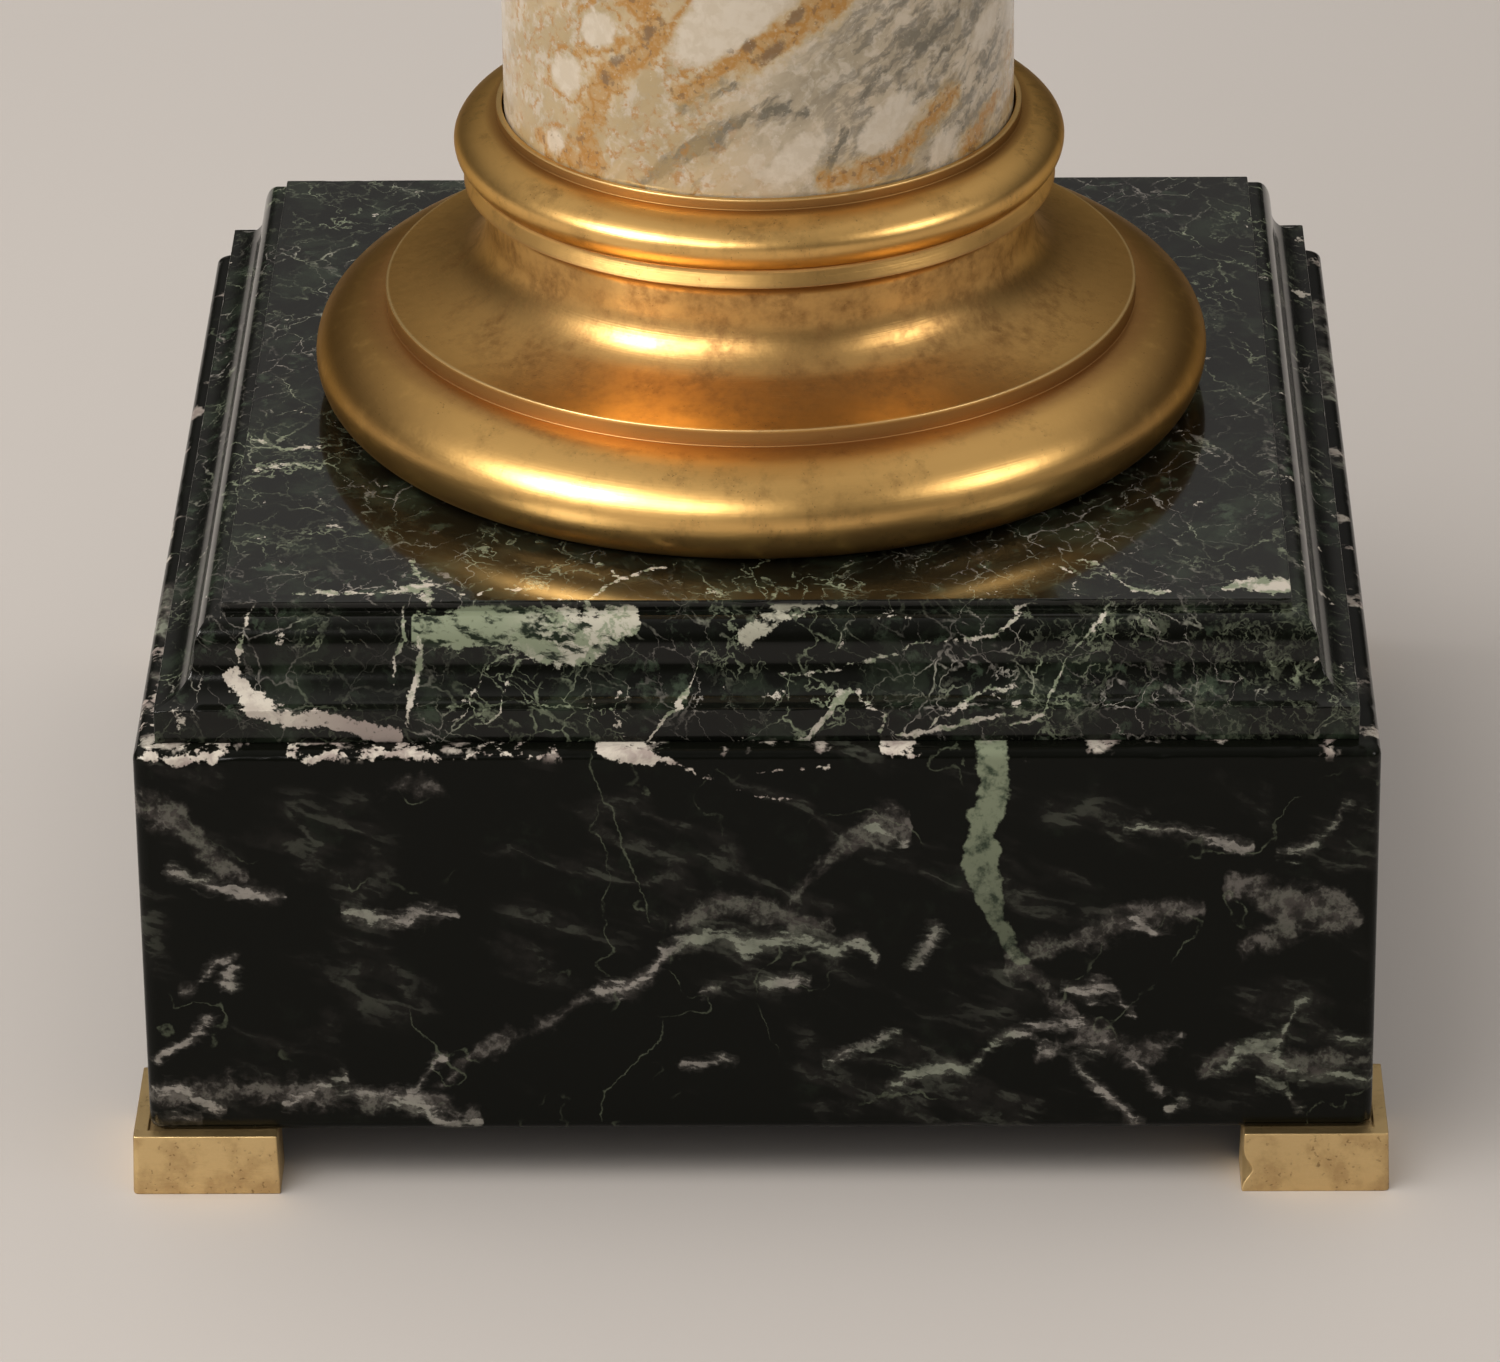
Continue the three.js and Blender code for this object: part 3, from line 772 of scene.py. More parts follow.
SHAFT_OCHRE_X = [
    [(-22, 287, 0.8), (-7, 297, 2), (1, 300.5, 3), (15, 309.5, 3.4), (24, 315, 3), (34, 324, 2)],
    [(18, 261, 0.2), (32, 262.5, 1.6), (40, 265, 3), (45, 269.5, 1.8), (49, 273.5, 1.8),
     (55, 277, 0.6)],
    [(-60, 262, 1), (-51, 260.5, 2), (-43, 262.5, 2)],
]
SHAFT_OCHRE_Z = [
    [(257, -45, 1.4), (266, -47, 2), (273, -45.5, 1), (280, -43.5, 1.8), (290, -38.5, 3.6),
     (296, -31, 2.6), (305, -28, 3), (313, -33, 4), (324, -30, 3)],
    [(292, -50, 0.6), (294, -46, 1), (300, -36, 1.4)],
    [(258, 59.5, 0.6), (263, 62, 1), (269, 66.5, 0.6)],
]
SHAFT_SLATE_X = [
    [(-34, 256.5, 1), (-27, 263, 2.4), (-17, 270.5, 3.4), (-9, 276.5, 2.8), (-1, 281, 1.8),
     (7, 283, 1.6), (14, 281.5, 0.8)],
    [(-21, 283, 0.6), (-13, 287, 1.4), (-5, 290.5, 0.6)],
    [(17, 261, 0.6), (22, 268.5, 2.4), (26, 274.5, 0.8)],
    [(29, 284.5, 0.6), (33, 289, 1.4), (40, 293.5, 1), (48, 296.5, 1.8), (55, 301, 2),
     (60, 310, 2)],
    [(39, 284.5, 0.2), (45, 283, 0.8), (49, 286.5, 1.2), (52, 291.5, 1.4)],
    [(55, 264.5, 0.4), (62, 278.5, 1.1), (66, 284, 0.9), (68, 288, 0.4)],
]
SHAFT_CLASTS = [
    (-4, 313, 25, 9.5), (-43.2, 301.6, 6.6, 5.4), (-52.6, 285, 7, 5.6), (36.8, 274.8, 11.5, 6.6),
    (64, 292, 12, 4), (11, 268, 10, 5.5), (-56, 262.5, 5, 3.4), (52.2, 262.8, 8, 4),
]
SHAFT_BROWN = [
    (5.1, 300.3, 4.6, 2.4), (11, 310, 3.6, 2), (-1.5, 301.5, 2.4, 1.6), (-38.3, 293.4, 2.6, 1.8),
    (-29.2, 303.8, 2.6, 2), (-41.4, 287.3, 2.2, 1.8),
]
SHAFT_SLANT = 42.0


def chain(values):
    """The greatest of several values."""
    greatest = values[0]
    for value in values[1:]:
        greatest = greatest | value
    return greatest


def block_marble(colours):
    """Near-black marble: frayed smoky wisps, grey mist, hairlines and one green vein."""
    made = Finish("block marble", colours.ground, Specular_IOR_Level=0.10)
    bent = made.warp(14.0, 20.0, 4.0, 3.0, rough=0.6)
    torn = made.warp(4.6, 6.0, 6.0, 11.0, rough=0.62)
    x, _, z = made.split(torn)
    front = made.step(made.y, -118.0, -140.0)
    fray = made.noise(4.0, 7.0, 9.0, rough=0.68)
    smoke = made.noise(11.0, 7.0, 40.0, bent, 0.66)
    veil = made.noise(52.0, 3.0, 71.0)
    wisps = made.strokes(x, z, BLOCK_WISPS_X) | made.strokes(z, x, BLOCK_WISPS_Z)
    clouds = made.strokes(x, z, BLOCK_CLOUDS)
    hairs = made.strokes(z, x, BLOCK_HAIRS_Z)
    drift = made.step(smoke, 0.52, 0.76) * made.step(veil, 0.44, 0.62)
    made.lay(drift * 0.45, colours.leaf)
    layered = made.sheets(bent * 0.45 + made.at * 0.55, (0.36, 0.30, 0.88), 3.6)
    middle = abs(made.noise(26.0, 4.0, 23.0, layered, 0.58) - 0.5)
    apart = made.step(veil, 0.46, 0.58) * (0.9 - front * 0.75)
    ridge = made.step(middle, 0.060, 0.010) * apart
    mist = made.frayed(clouds, smoke, 20.0, -2.0, 4.0) * front
    mist = mist | (made.frayed(wisps, smoke, 16.0, -2.5, 3.5) * front * 0.8)
    mist = mist | ridge
    made.lay(mist * (0.35 + made.step(fray, 0.34, 0.62) * 0.65), colours.mist)
    hair = made.thread(torn, 30.0, 0.26, 17.0, 2.0)
    hair = hair * made.step(made.noise(30.0, 3.0, 57.0), 0.52, 0.62) * made.step(fray, 0.35, 0.6)
    hair = (hair * 0.24) | (made.frayed(hairs, fray, 0.8, -0.3, 0.2) * front * 0.30)
    made.lay(hair, colours.vein)
    brushed = made.noise(2.3, 6.0, 83.0, made.sheets(torn, (0.12, 0.0, 1.0), 4.0), 0.66)
    speck = made.noise(1.5, 5.0, 85.0, rough=0.7)
    ragged = wisps + (brushed - 0.5) * 12.0 + (speck - 0.5) * 3.0
    tone = made.blend(made.step(veil, 0.44, 0.56), colours.wisp, colours.lichen)
    strand = made.thread(bent, 10.0, 0.9, 29.0) | made.thread(torn, 6.0, 0.35, 31.0)
    strand = strand * made.step(mist, 0.30, 0.70) * made.step(fray, 0.36, 0.56)
    made.lay(strand * 0.20, tone)
    made.lay(made.step(ragged, -2.6, 2.0) * front * 0.15, tone)
    core = made.step(ragged, -0.4, 1.0) * front
    stray = made.step(middle + (brushed - 0.5) * 0.10, 0.020, 0.004) * apart
    core = core | (stray * made.step(smoke, 0.40, 0.54))
    made.lay(core * made.step(smoke, 0.26, 0.60) * 0.72, tone)
    green = made.frayed(made.strokes(z, x, [BLOCK_GREEN_VEIN]), fray, 3.0, -0.5, 0.5) * front
    mottle = made.blend(made.step(fray, 0.30, 0.58), colours.moss, colours.vein)
    made.lay(green * (0.4 + made.step(made.z, 70.0, 128.0) * 0.45), mottle)
    shelf = made.strokes(x, z, SHELF_CHALK)
    shelf = made.frayed(shelf, fray, 7.0, 0.1, 0.8) * front
    rim = made.step(made.z, 131.5, 134.5) * made.step(made.noise(16.0, 5.0, 88.0, bent), 0.56, 0.62)
    shelf = shelf | (rim * made.step(fray, 0.40, 0.50) * 0.7)
    tint = made.blend(made.step(smoke, 0.40, 0.60), colours.rose, colours.chalk)
    made.lay(shelf * made.step(fray, 0.22, 0.44), tint)
    return made.finished(Roughness=0.17 + fray * 0.06)


def lively_marble(name, colours, features, face):
    """Black-green marble full of pale branching veins, more polished above the face's edge."""
    made = Finish(name, colours.ground, Specular_IOR_Level=0.22, Coat_Roughness=0.06)
    bent = made.warp(16.0, 18.0, 4.0, 5.0, rough=0.62)
    jagged = made.warp(7.0, 7.0, 6.0, 27.0, rough=0.66)
    torn = made.warp(3.4, 4.0, 6.0, 19.0, rough=0.64)
    grain = made.noise(1.5, 4.0, 9.0, rough=0.66)
    clouds = made.noise(20.0, 5.0, 2.0, bent, 0.64)
    zones = made.noise(40.0, 3.0, 33.0)
    broken = made.noise(9.0, 4.0, 55.0, rough=0.6)
    made.lay(made.step(clouds, 0.46, 0.72), colours.leaf)
    deep = made.step(made.noise(8.0, 6.0, 66.0, jagged, 0.66), 0.54, 0.68)
    made.lay(deep * made.step(zones, 0.46, 0.60) * 0.75, colours.moss)
    wide = made.crack(made.sheets(bent, (0.62, 0.30, -0.72), 3.0), 15.0, 0.42)
    wide = wide * made.step(clouds, 0.42, 0.55)
    forks = made.crack(made.sheets(jagged, (-0.70, 0.50, -0.50), 3.2), 6.5, 0.25)
    forks = forks * made.step(broken, 0.42, 0.56) * made.step(zones, 0.40, 0.54)
    bolt = made.thread(jagged, 24.0, 0.30, 61.0, 4.0) * made.step(zones, 0.56, 0.42)
    needle = made.thread(made.sheets(torn, (0.55, 0.35, 0.76), 6.0), 9.0, 0.14, 7.0, 2.0)
    needle = needle * made.step(broken, 0.54, 0.44)
    veins = chain([wide * 0.85, forks * 0.65, bolt * 0.7, needle * 0.5])
    lively = made.step(made.noise(17.0, 4.0, 73.0, bent, 0.6), 0.47, 0.62)
    veins = veins * (0.26 + lively * 0.84) * made.step(grain, 0.22, 0.58)
    pale = made.blend(made.step(zones, 0.46, 0.60), colours.vein, colours.wisp)
    made.lay(veins, pale)
    flecks = made.step(made.noise(10.0, 7.0, 92.0, torn, 0.70), 0.665, 0.70)
    made.lay(flecks * made.step(grain, 0.30, 0.5) * 0.75, colours.chalk)
    if features:
        slab_features(made, torn, jagged, grain, colours, face)
    polish = 0.08 + made.step(made.z, face - 1.4, face - 0.4) * 0.40
    return made.finished(Roughness=0.10 + grain * 0.08, Coat_Weight=polish)


def slab_features(made, torn, jagged, grain, colours, height):
    """The bold strokes on the slab's front mouldings and along its top's front edge."""
    x, y, z = made.split(torn)
    front = made.step(made.y, -128.0, -136.0)
    face = made.step(made.z, height - 1.9, height - 0.7)
    fray = made.noise(3.0, 7.0, 13.0, rough=0.70)
    curls = made.noise(6.5, 6.0, 14.0, torn, 0.66)
    below = front * (1.0 - face)
    seam_left = made.step(made.x, SEAM_X + 0.3, SEAM_X - 0.3) * made.step(made.x, -122.0, -104.0)
    made.lay(below * seam_left * 0.7, colours.ground)
    lace = made.thread(jagged, 9.0, 0.36, 21.0, 2.0) | made.thread(jagged, 5.0, 0.20, 37.0, 2.0)
    area = made.step(abs(made.x - LACE_X - (made.z - LACE_Z) * LACE_LEAN), 17.0, 3.0)
    area = area | (made.step(made.x, 95.0, 115.0) * 0.4)
    area = area * made.step(curls, 0.44, 0.60) * below
    made.lay(lace * area * made.step(grain, 0.15, 0.5) * 0.55, colours.vein)
    green = made.frayed(made.strokes(x, z, [SLAB_GREEN_BAND]), fray, 8.0, -0.4, 0.6) * below
    green = green * made.step(made.x, SEAM_X - 0.2, SEAM_X + 0.2)
    streaks = made.sheets(torn, (0.15, 0.0, 1.0), 3.0)
    holes = made.step(made.noise(3.4, 7.0, 24.0, streaks, 0.70), 0.40, 0.52)
    patch = made.blend(holes, colours.leaf, colours.vein)
    milky = made.step(made.x, -72.0, -48.0) * made.step(curls, 0.44, 0.54)
    patch = made.blend(milky * holes * 0.65, patch, colours.chalk)
    made.lay(green * 0.95, patch)
    twigs = made.strokes(x, z, SLAB_TWIGS_X) | made.strokes(z, x, SLAB_TWIGS_Z)
    twigs = made.frayed(twigs, fray, 3.6, -0.05, 0.45) * below
    edge = made.strokes(x, y, TOP_TWIGS_X) | made.strokes(y, x, TOP_TWIGS_Y)
    edge = made.frayed(edge, fray, 9.0, -0.1, 0.7) * face
    tint = made.blend(made.step(curls, 0.44, 0.58), colours.vein, colours.chalk)
    made.lay((twigs * 0.8) | (edge * 0.85), tint)
    chalk = made.strokes(x, z, SLAB_CHALK)
    chalk = made.frayed(chalk, fray, 6.5, -0.2, 0.5) * below
    right = made.step(made.x, -20.0, -10.0)
    chalk = chalk * (1.0 - right * (1.0 - holes))
    rosy = made.step(made.x, -128.0, -106.0) * (1.0 - made.step(made.x, -60.0, -50.0))
    pale = made.blend(rosy, colours.chalk, colours.rose)
    pale = made.blend(made.step(curls, 0.60, 0.44) * 0.45, pale, colours.rose)
    pale = made.blend(right * 0.5, pale, colours.vein)
    made.lay(chalk * made.step(grain, 0.12, 0.42) * 0.95, pale)


def breccia(colours):
    """White clasts in an ochre network on the left, slanting grey streaks on the right."""
    made = Finish("breccia marble", colours.stone, Specular_IOR_Level=0.5)
    slant = math.radians(SHAFT_SLANT)
    across = (-math.sin(slant), 0.15, math.cos(slant))
    bent = made.warp(10.0, 13.0, 4.0, 7.0, rough=0.6)
    torn = made.warp(4.6, 4.5, 6.0, 21.0, rough=0.62)
    loose = made.warp(8.5, 8.0, 3.0, 51.0)
    x, _, z = made.split(torn)
    front = made.step(made.y, -12.0, -30.0) * made.step(made.z, 345.0, 318.0)
    layered = made.sheets(bent, across, 3.0)
    finer = made.sheets(torn, across, 3.6)
    fray = made.noise(3.4, 7.0, 13.0, rough=0.68)
    grain = made.noise(1.2, 4.0, 9.0, rough=0.66)
    dapple = made.noise(5.0, 6.0, 18.0, bent, 0.64)
    body = made.noise(15.0, 5.0, 3.0, layered, 0.62)
    made.lay(made.step(body, 0.36, 0.60), colours.cream)
    made.lay(made.step(dapple, 0.46, 0.64) * 0.55, colours.milk)
    haze = made.noise(4.2, 7.0, 44.0, layered, 0.68)
    smear = made.noise(2.6, 6.0, 45.0, finer, 0.66)
    away = made.step(made.noise(40.0, 3.0, 15.0, layered), 0.44, 0.56)
    right = made.step(made.x, 0.0, 36.0)
    slate = made.strokes(x, z, SHAFT_SLATE_X)
    slate = made.frayed(slate, smear, 15.0, -2.4, 2.2) * front
    shade = made.step(haze, 0.44, 0.62) * (right * front * 0.85 | away * (1.0 - front) * 0.8)
    streaks = made.step(body, 0.56, 0.68) * away * (1.0 - front) * made.step(smear, 0.34, 0.52)
    shade = chain([shade, slate, streaks, made.step(smear, 0.52, 0.64) * (right | away) * 0.7])
    made.lay(shade * made.step(grain, 0.05, 0.45) * 0.85, colours.slate)
    cells = made.node(
        "ShaderNodeTexVoronoi",
        {"Vector": made.sheets(loose, across, 1.7), "Scale": 1.0 / 25.0}, feature="F1")
    ragged = cells + (fray - 0.5) * 0.30 + (body - 0.5) * 0.9 + (dapple - 0.5) * 0.5
    zone = made.step(made.noise(44.0, 4.0, 81.0, layered, 0.6), 0.48, 0.57) * (1.0 - front)
    pale = made.step(ragged, 0.46, 0.34) * (made.step(body, 0.44, 0.52) | zone)
    clasts = made.clasts(loose * 0.5 + torn * 0.5, SHAFT_CLASTS, slant)
    pale = (pale * (1.0 - front)) | (made.frayed(clasts, fray, 5.0, -0.9, 1.5) * front)
    lit = made.blend(made.step(dapple, 0.60, 0.40) * 0.45, colours.milk, colours.cream)
    made.lay(pale * 0.94, lit)
    ochre = made.strokes(x, z, SHAFT_OCHRE_X) | made.strokes(z, x, SHAFT_OCHRE_Z)
    left = made.step(made.x, 8.0, -24.0) * front
    broad = made.frayed(ochre, fray, 11.0, -7.0, 0.5) * front
    clear = 1.0 - pale * 0.92
    patchy = made.step(dapple, 0.72, 0.40)
    around = made.step(ragged, 0.40, 0.48) * made.step(ragged, 0.66, 0.54) * zone
    stain = chain([zone * patchy * 0.8, around, broad, left * patchy * 0.7]) * clear
    made.lay(stain * made.step(grain, 0.0, 0.45) * 0.72, colours.honey)
    rim = made.step(abs(clasts + 1.3), 1.5, 0.2) * made.step(made.x, 8.0, -16.0) * front
    net = made.crack(torn, 5.0, 2.0)
    dense = made.frayed(ochre, fray, 9.0, -3.4, 0.4) * front
    far = (net * 0.6 | around) * zone
    rust = chain([
        far * made.step(fray, 0.42, 0.58) * made.step(dapple, 0.36, 0.54),
        dense * (net * 0.45 + 0.55),
        net * left * made.step(fray, 0.46, 0.58) * made.step(dapple, 0.38, 0.54) * 0.8,
        rim * made.step(fray, 0.42, 0.56)])
    made.lay(rust * clear * made.step(grain, 0.10, 0.5) * 0.9, colours.ochre)
    brown = made.frayed(made.clasts(torn, SHAFT_BROWN, slant), fray, 4.6, -0.6, 0.9) * front
    pebbles = made.step(made.noise(2.4, 4.0, 52.0, rough=0.6), 0.56, 0.64) * (around | dense)
    made.lay((brown * 0.75) | (pebbles * 0.6), colours.umber)
    glint = made.step(made.noise(0.8, 1.0, 53.0), 0.70, 0.76) * made.step(fray, 0.45, 0.60)
    made.lay(glint * 0.6, colours.milk)
    return made.finished(Roughness=0.16 + grain * 0.10)


def gilt_bronze(name, colours, hollows, shaded_creases, grime_and_shade_bands, rubbed_and_glinting):
    """Satin gilding over turning lines. The hollows turn browner, partly tarnished gilding and
    partly painted shade. The flanks, some corners and the creases between mouldings take brown and
    red-brown painted shade. Thin bands under the given edges are brighter, partly wear and partly
    a painted highlight.

    The hollow bands and the bands of grime and painted shade are (lowest, highest, softness), the
    shaded creases are (height, reach) and the worn, glinting edges are heights.
    """
    made = Finish(name, colours.gilt, Metallic=1.0, Specular_Tint=colours.edge)
    radius = (made.x * made.x + made.y * made.y) ** 0.5
    ringed = made.join(radius, made.z, (made.x + made.y) * 0.012)
    lines = made.noise(0.34, 3.0, 4.0, ringed)
    blotches = made.noise(12.0, 6.0, 6.0, rough=0.64)
    mottle = made.noise(3.2, 5.0, 16.0, rough=0.6)
    fine = made.noise(0.8, 3.0, 8.0)
    pits = made.step(fine, 0.66, 0.74) * made.step(blotches, 0.48, 0.60)
    hollow, grime_and_shade = [
        chain([
            made.step(made.z, low - soft, low + soft) * made.step(made.z, high + soft, high - soft)
            for low, high, soft in bands])
        for bands in (hollows, grime_and_shade_bands)]
    brown = hollow * made.step(blotches, 0.34, 0.66) * made.step(mottle, 0.20, 0.70)
    tarnish = made.step(blotches, 0.46, 0.70) * made.step(mottle, 0.30, 0.62) * 0.42
    # Painted shade: patchy patina brown towards the left and right ends, where |x| runs from 74 to
    # 122 mm, darkens the sides seen from the front
    painted_dark_flanks = made.step(abs(made.x), 74.0, 122.0) * made.step(blotches, 0.16, 0.50) * 0.62
    # Browner gilding over the hollow bands: partly tarnished gilding, partly painted shade of the
    # recesses
    made.lay(hollow * 0.55, colours.deep)
    # Patina in the hollows and random tarnish, plus patina laid as painted shade on the flanks and
    # over the bands of grime and painted shade, such as the flange face and the undercut
    made.lay(chain([brown * 0.80, tarnish, painted_dark_flanks, grime_and_shade * 0.80]), colours.patina_and_shade)
    # Painted shade in the creases between mouldings: a red-brown tint that stands for shade and for
    # the reddish glow of light bounced between gilt faces
    seam = chain([made.step(abs(made.z - place), reach, 0.0) for place, reach in shaded_creases])
    made.lay(seam * (0.35 + mottle * 0.5), colours.crease_shade_tint)
    # Thin bright bands just under the given edges: partly worn gilding, partly a painted highlight
    # line
    bare_and_glint = chain([
        made.step(made.z, place - 0.5, place - 0.3) * made.step(made.z, place + 0.08, place + 0.03)
        for place in rubbed_and_glinting])
    made.lay(bare_and_glint * 0.7, colours.rub_and_glint)
    made.lay(pits * 0.6, colours.patina_and_shade)
    rough = 0.31 + fine * 0.06 + mottle * 0.05 + brown * 0.08 + grime_and_shade * 0.12
    made.bump(lines * 0.30 + fine * 0.25 + mottle * 0.8, 0.00005)
    return made.finished(Roughness=rough)


def foot_bronze(colours, lip):
    """Paler gilding, brushed along the floor, with dark specks and a worn lip made brighter and
    glossier, partly wear and partly a painted highlight.
    """
    made = Finish("foot bronze", colours.foot, Metallic=1.0)
    brushed = made.join(made.x * 0.06, made.y * 0.06, made.z)
    lines = made.noise(0.28, 3.0, 4.0, brushed)
    fine = made.noise(0.8, 4.0, 8.0)
    blotches = made.noise(9.0, 5.0, 6.0, rough=0.6)
    specks = made.step(made.noise(1.3, 3.0, 12.0), 0.62, 0.72) * made.step(blotches, 0.40, 0.60)
    made.lay(made.step(blotches, 0.42, 0.70) * 0.4, colours.patina_and_shade)
    made.lay(specks * 0.7, colours.dirt)
    # A bright, glossier band along the top of the lip: partly worn gilding, partly a painted
    # highlight
    bare_and_glint = made.step(made.z, lip - 0.7, lip - 0.2)
    made.lay(bare_and_glint * 0.5, colours.rub_and_glint)
    made.bump(lines * 0.8 + fine * 0.5 - specks, 0.00006)
    return made.finished(Roughness=0.44 + fine * 0.16 - bare_and_glint * 0.10)


# Pieces


def make_feet(sizes, mesh, colours):
    """Four L-shaped feet, one section carried along two arms and turned to each corner.

    The section is a loop of (inset, z): underside, outer face, lip, seat and inner face.
    Column k of a corner lies at (m + q - r cos a, m - r sin a) with m = max(inset,
    corner radius), r = m - inset and the angle a from 45 to 90 degrees; q spreads the
    columns a little. Along an arm the columns share what is left to the arm's end.
    """
    height = sizes.seat + sizes.rise
    loop = np.array([
        (sizes.width, 0.0), (-sizes.flare, 0.0), (0.0, height), (sizes.lip, height),
        (sizes.lip, sizes.seat), (sizes.width, sizes.seat)])[::-1]
    points = worn_profile([loop], sizes.wear, 0.75 * mesh.row, closed=True)[0]
    inset, z = points.T
    turn = np.radians(np.linspace(45.0, 90.0, 7))
    spread = np.linspace(0.0, 1.5, len(turn)) * sizes.wear
    middle = np.maximum(inset, sizes.corner)
    reach = middle - inset
    near = np.stack([
        middle + spread[:, None] - reach * np.cos(turn)[:, None],
        middle - reach * np.sin(turn)[:, None]], axis=-1)
    end = sizes.arm + sizes.flare * (1.0 - z / height) - sizes.wear
    share = np.linspace(0.0, 1.0, 30)[1:, None]
    far_x = near[-1, :, 0] + share * (end - near[-1, :, 0])
    far = np.stack([far_x, np.broadcast_to(inset, far_x.shape)], axis=-1)
    centre = np.array([(sizes.width - sizes.flare) / 2.0, sizes.seat / 2.0])
    cap = np.radians(np.linspace(0.0, 90.0, 6))[1:, None]
    shrink = sizes.wear * (1.0 - np.cos(cap))
    inward = np.clip((centre - points) / sizes.wear / 4.0, -1.0, 1.0)
    cap_inset = inset + shrink * inward[:, 0]
    cap_z = z + shrink * inward[:, 1]
    cap_x = end + sizes.wear * np.sin(cap)
    arm = np.concatenate([near, far])
    arm = np.dstack([arm, np.broadcast_to(z, arm.shape[:2])])
    arm = np.concatenate([arm, np.dstack([cap_x, cap_inset, cap_z])])
    other = arm[:0:-1][..., [1, 0, 2]]
    rings = np.concatenate([other, arm])
    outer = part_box("foot_front_left")[0].x + sizes.flare
    rings[..., :2] += outer
    material = foot_bronze(colours, height / MM)
    for turns, node in enumerate(FEET):
        foot = rings.copy()
        foot[..., :2] = rings[..., :2] @ np.linalg.matrix_power(QUARTER, turns)
        if node == "foot_front_right":
            share, width, depth = NOTCH
            place = (foot[..., 0].min(), outer, height * share)
            foot = dented(foot, np.array([[[-1.0, 0.0, 0.0]]]), place, width, depth)
        make_piece(node.replace("foot", "gilt_foot"), foot, material, node)


def make_block(sizes, mesh, colours):
    """A square prism with round arrises: the profile is carried round the square."""
    low, high, out = level("plinth_block"), top("plinth_block"), half("plinth_block")
    profile = worn_profile([
        [(out - REACH_UNDER, low)],
        arc((out - sizes.arris, low + sizes.arris), (sizes.arris,) * 2, -90, 0, 12),
        arc((out - sizes.arris, high - sizes.arris), (sizes.arris,) * 2, 0, 90, 12),
        [(out - REACH_UNDER, high)]], mesh.marble_wear, BLOCK_ROW)
    rings, normals = squared(profile, sizes.corner, mesh.along, 8)
    # The arrises are where the normal leans between upright and level
    arris = np.clip(np.abs(profile[1][:, 0] * profile[1][:, 1]) * 2.5, 0.0, 1.0)
    rings = chipped(rings, normals, arris, mesh.chip, 1.0)
    make_piece("marble_block", rings, block_marble(colours), "plinth_block")


def make_slab(sizes, mesh, colours):
    """Foot fillet, cove, ovolo, ledge and top fillet, mitred round the square."""
    low, high, out = level("plinth_slab"), top("plinth_slab"), half("plinth_slab")
    turn = low + sizes.foot + sizes.cove
    shoulder = out - sizes.cove_out - sizes.ovolo_out
    profile = worn_profile([
        [(out - REACH_UNDER, low), (out, low)],
        arc((out, turn), (sizes.cove_out, sizes.cove), 270, 180),
        arc((shoulder, turn), (sizes.ovolo_out, sizes.ovolo), 0, 90),
        [(shoulder - sizes.ledge, turn + sizes.ovolo), (shoulder - sizes.ledge, high)],
        [(shoulder - REACH_SLAB, high)]], mesh.marble_wear, mesh.row)
    rings, normals = squared(profile, MITRE, mesh.along)
    rings = chipped(rings, normals, profile[2], mesh.chip, 2.0)
    material = lively_marble("slab marble", colours, True, high / MM)
    make_piece("moulded_slab", rings, material, "plinth_slab")


def scotia(start, reach, bend, flat=4.0, turn=25.0):
    """A hollow curve in two arcs, from a rim inwards and up to an upright neck.

    The wide arc runs from `flat` to `turn` degrees of slope and the tight one, with the
    radius `bend`, from there to upright. The wide radius makes the two span the reach.
    """
    sine = [math.sin(math.radians(slope)) for slope in (flat, turn)]
    wide = (reach - bend * (1.0 - sine[1])) / (sine[1] - sine[0])
    centre = np.array(start) + wide * np.array([sine[0], math.cos(math.radians(flat))])
    lower = arc(centre, (wide, wide), 270.0 - flat, 270.0 - turn)
    centre = lower[-1] + bend * np.array([sine[1], math.cos(math.radians(turn))])
    return np.vstack([lower, arc(centre, (bend, bend), 270.0 - turn, 180.0)[1:]])


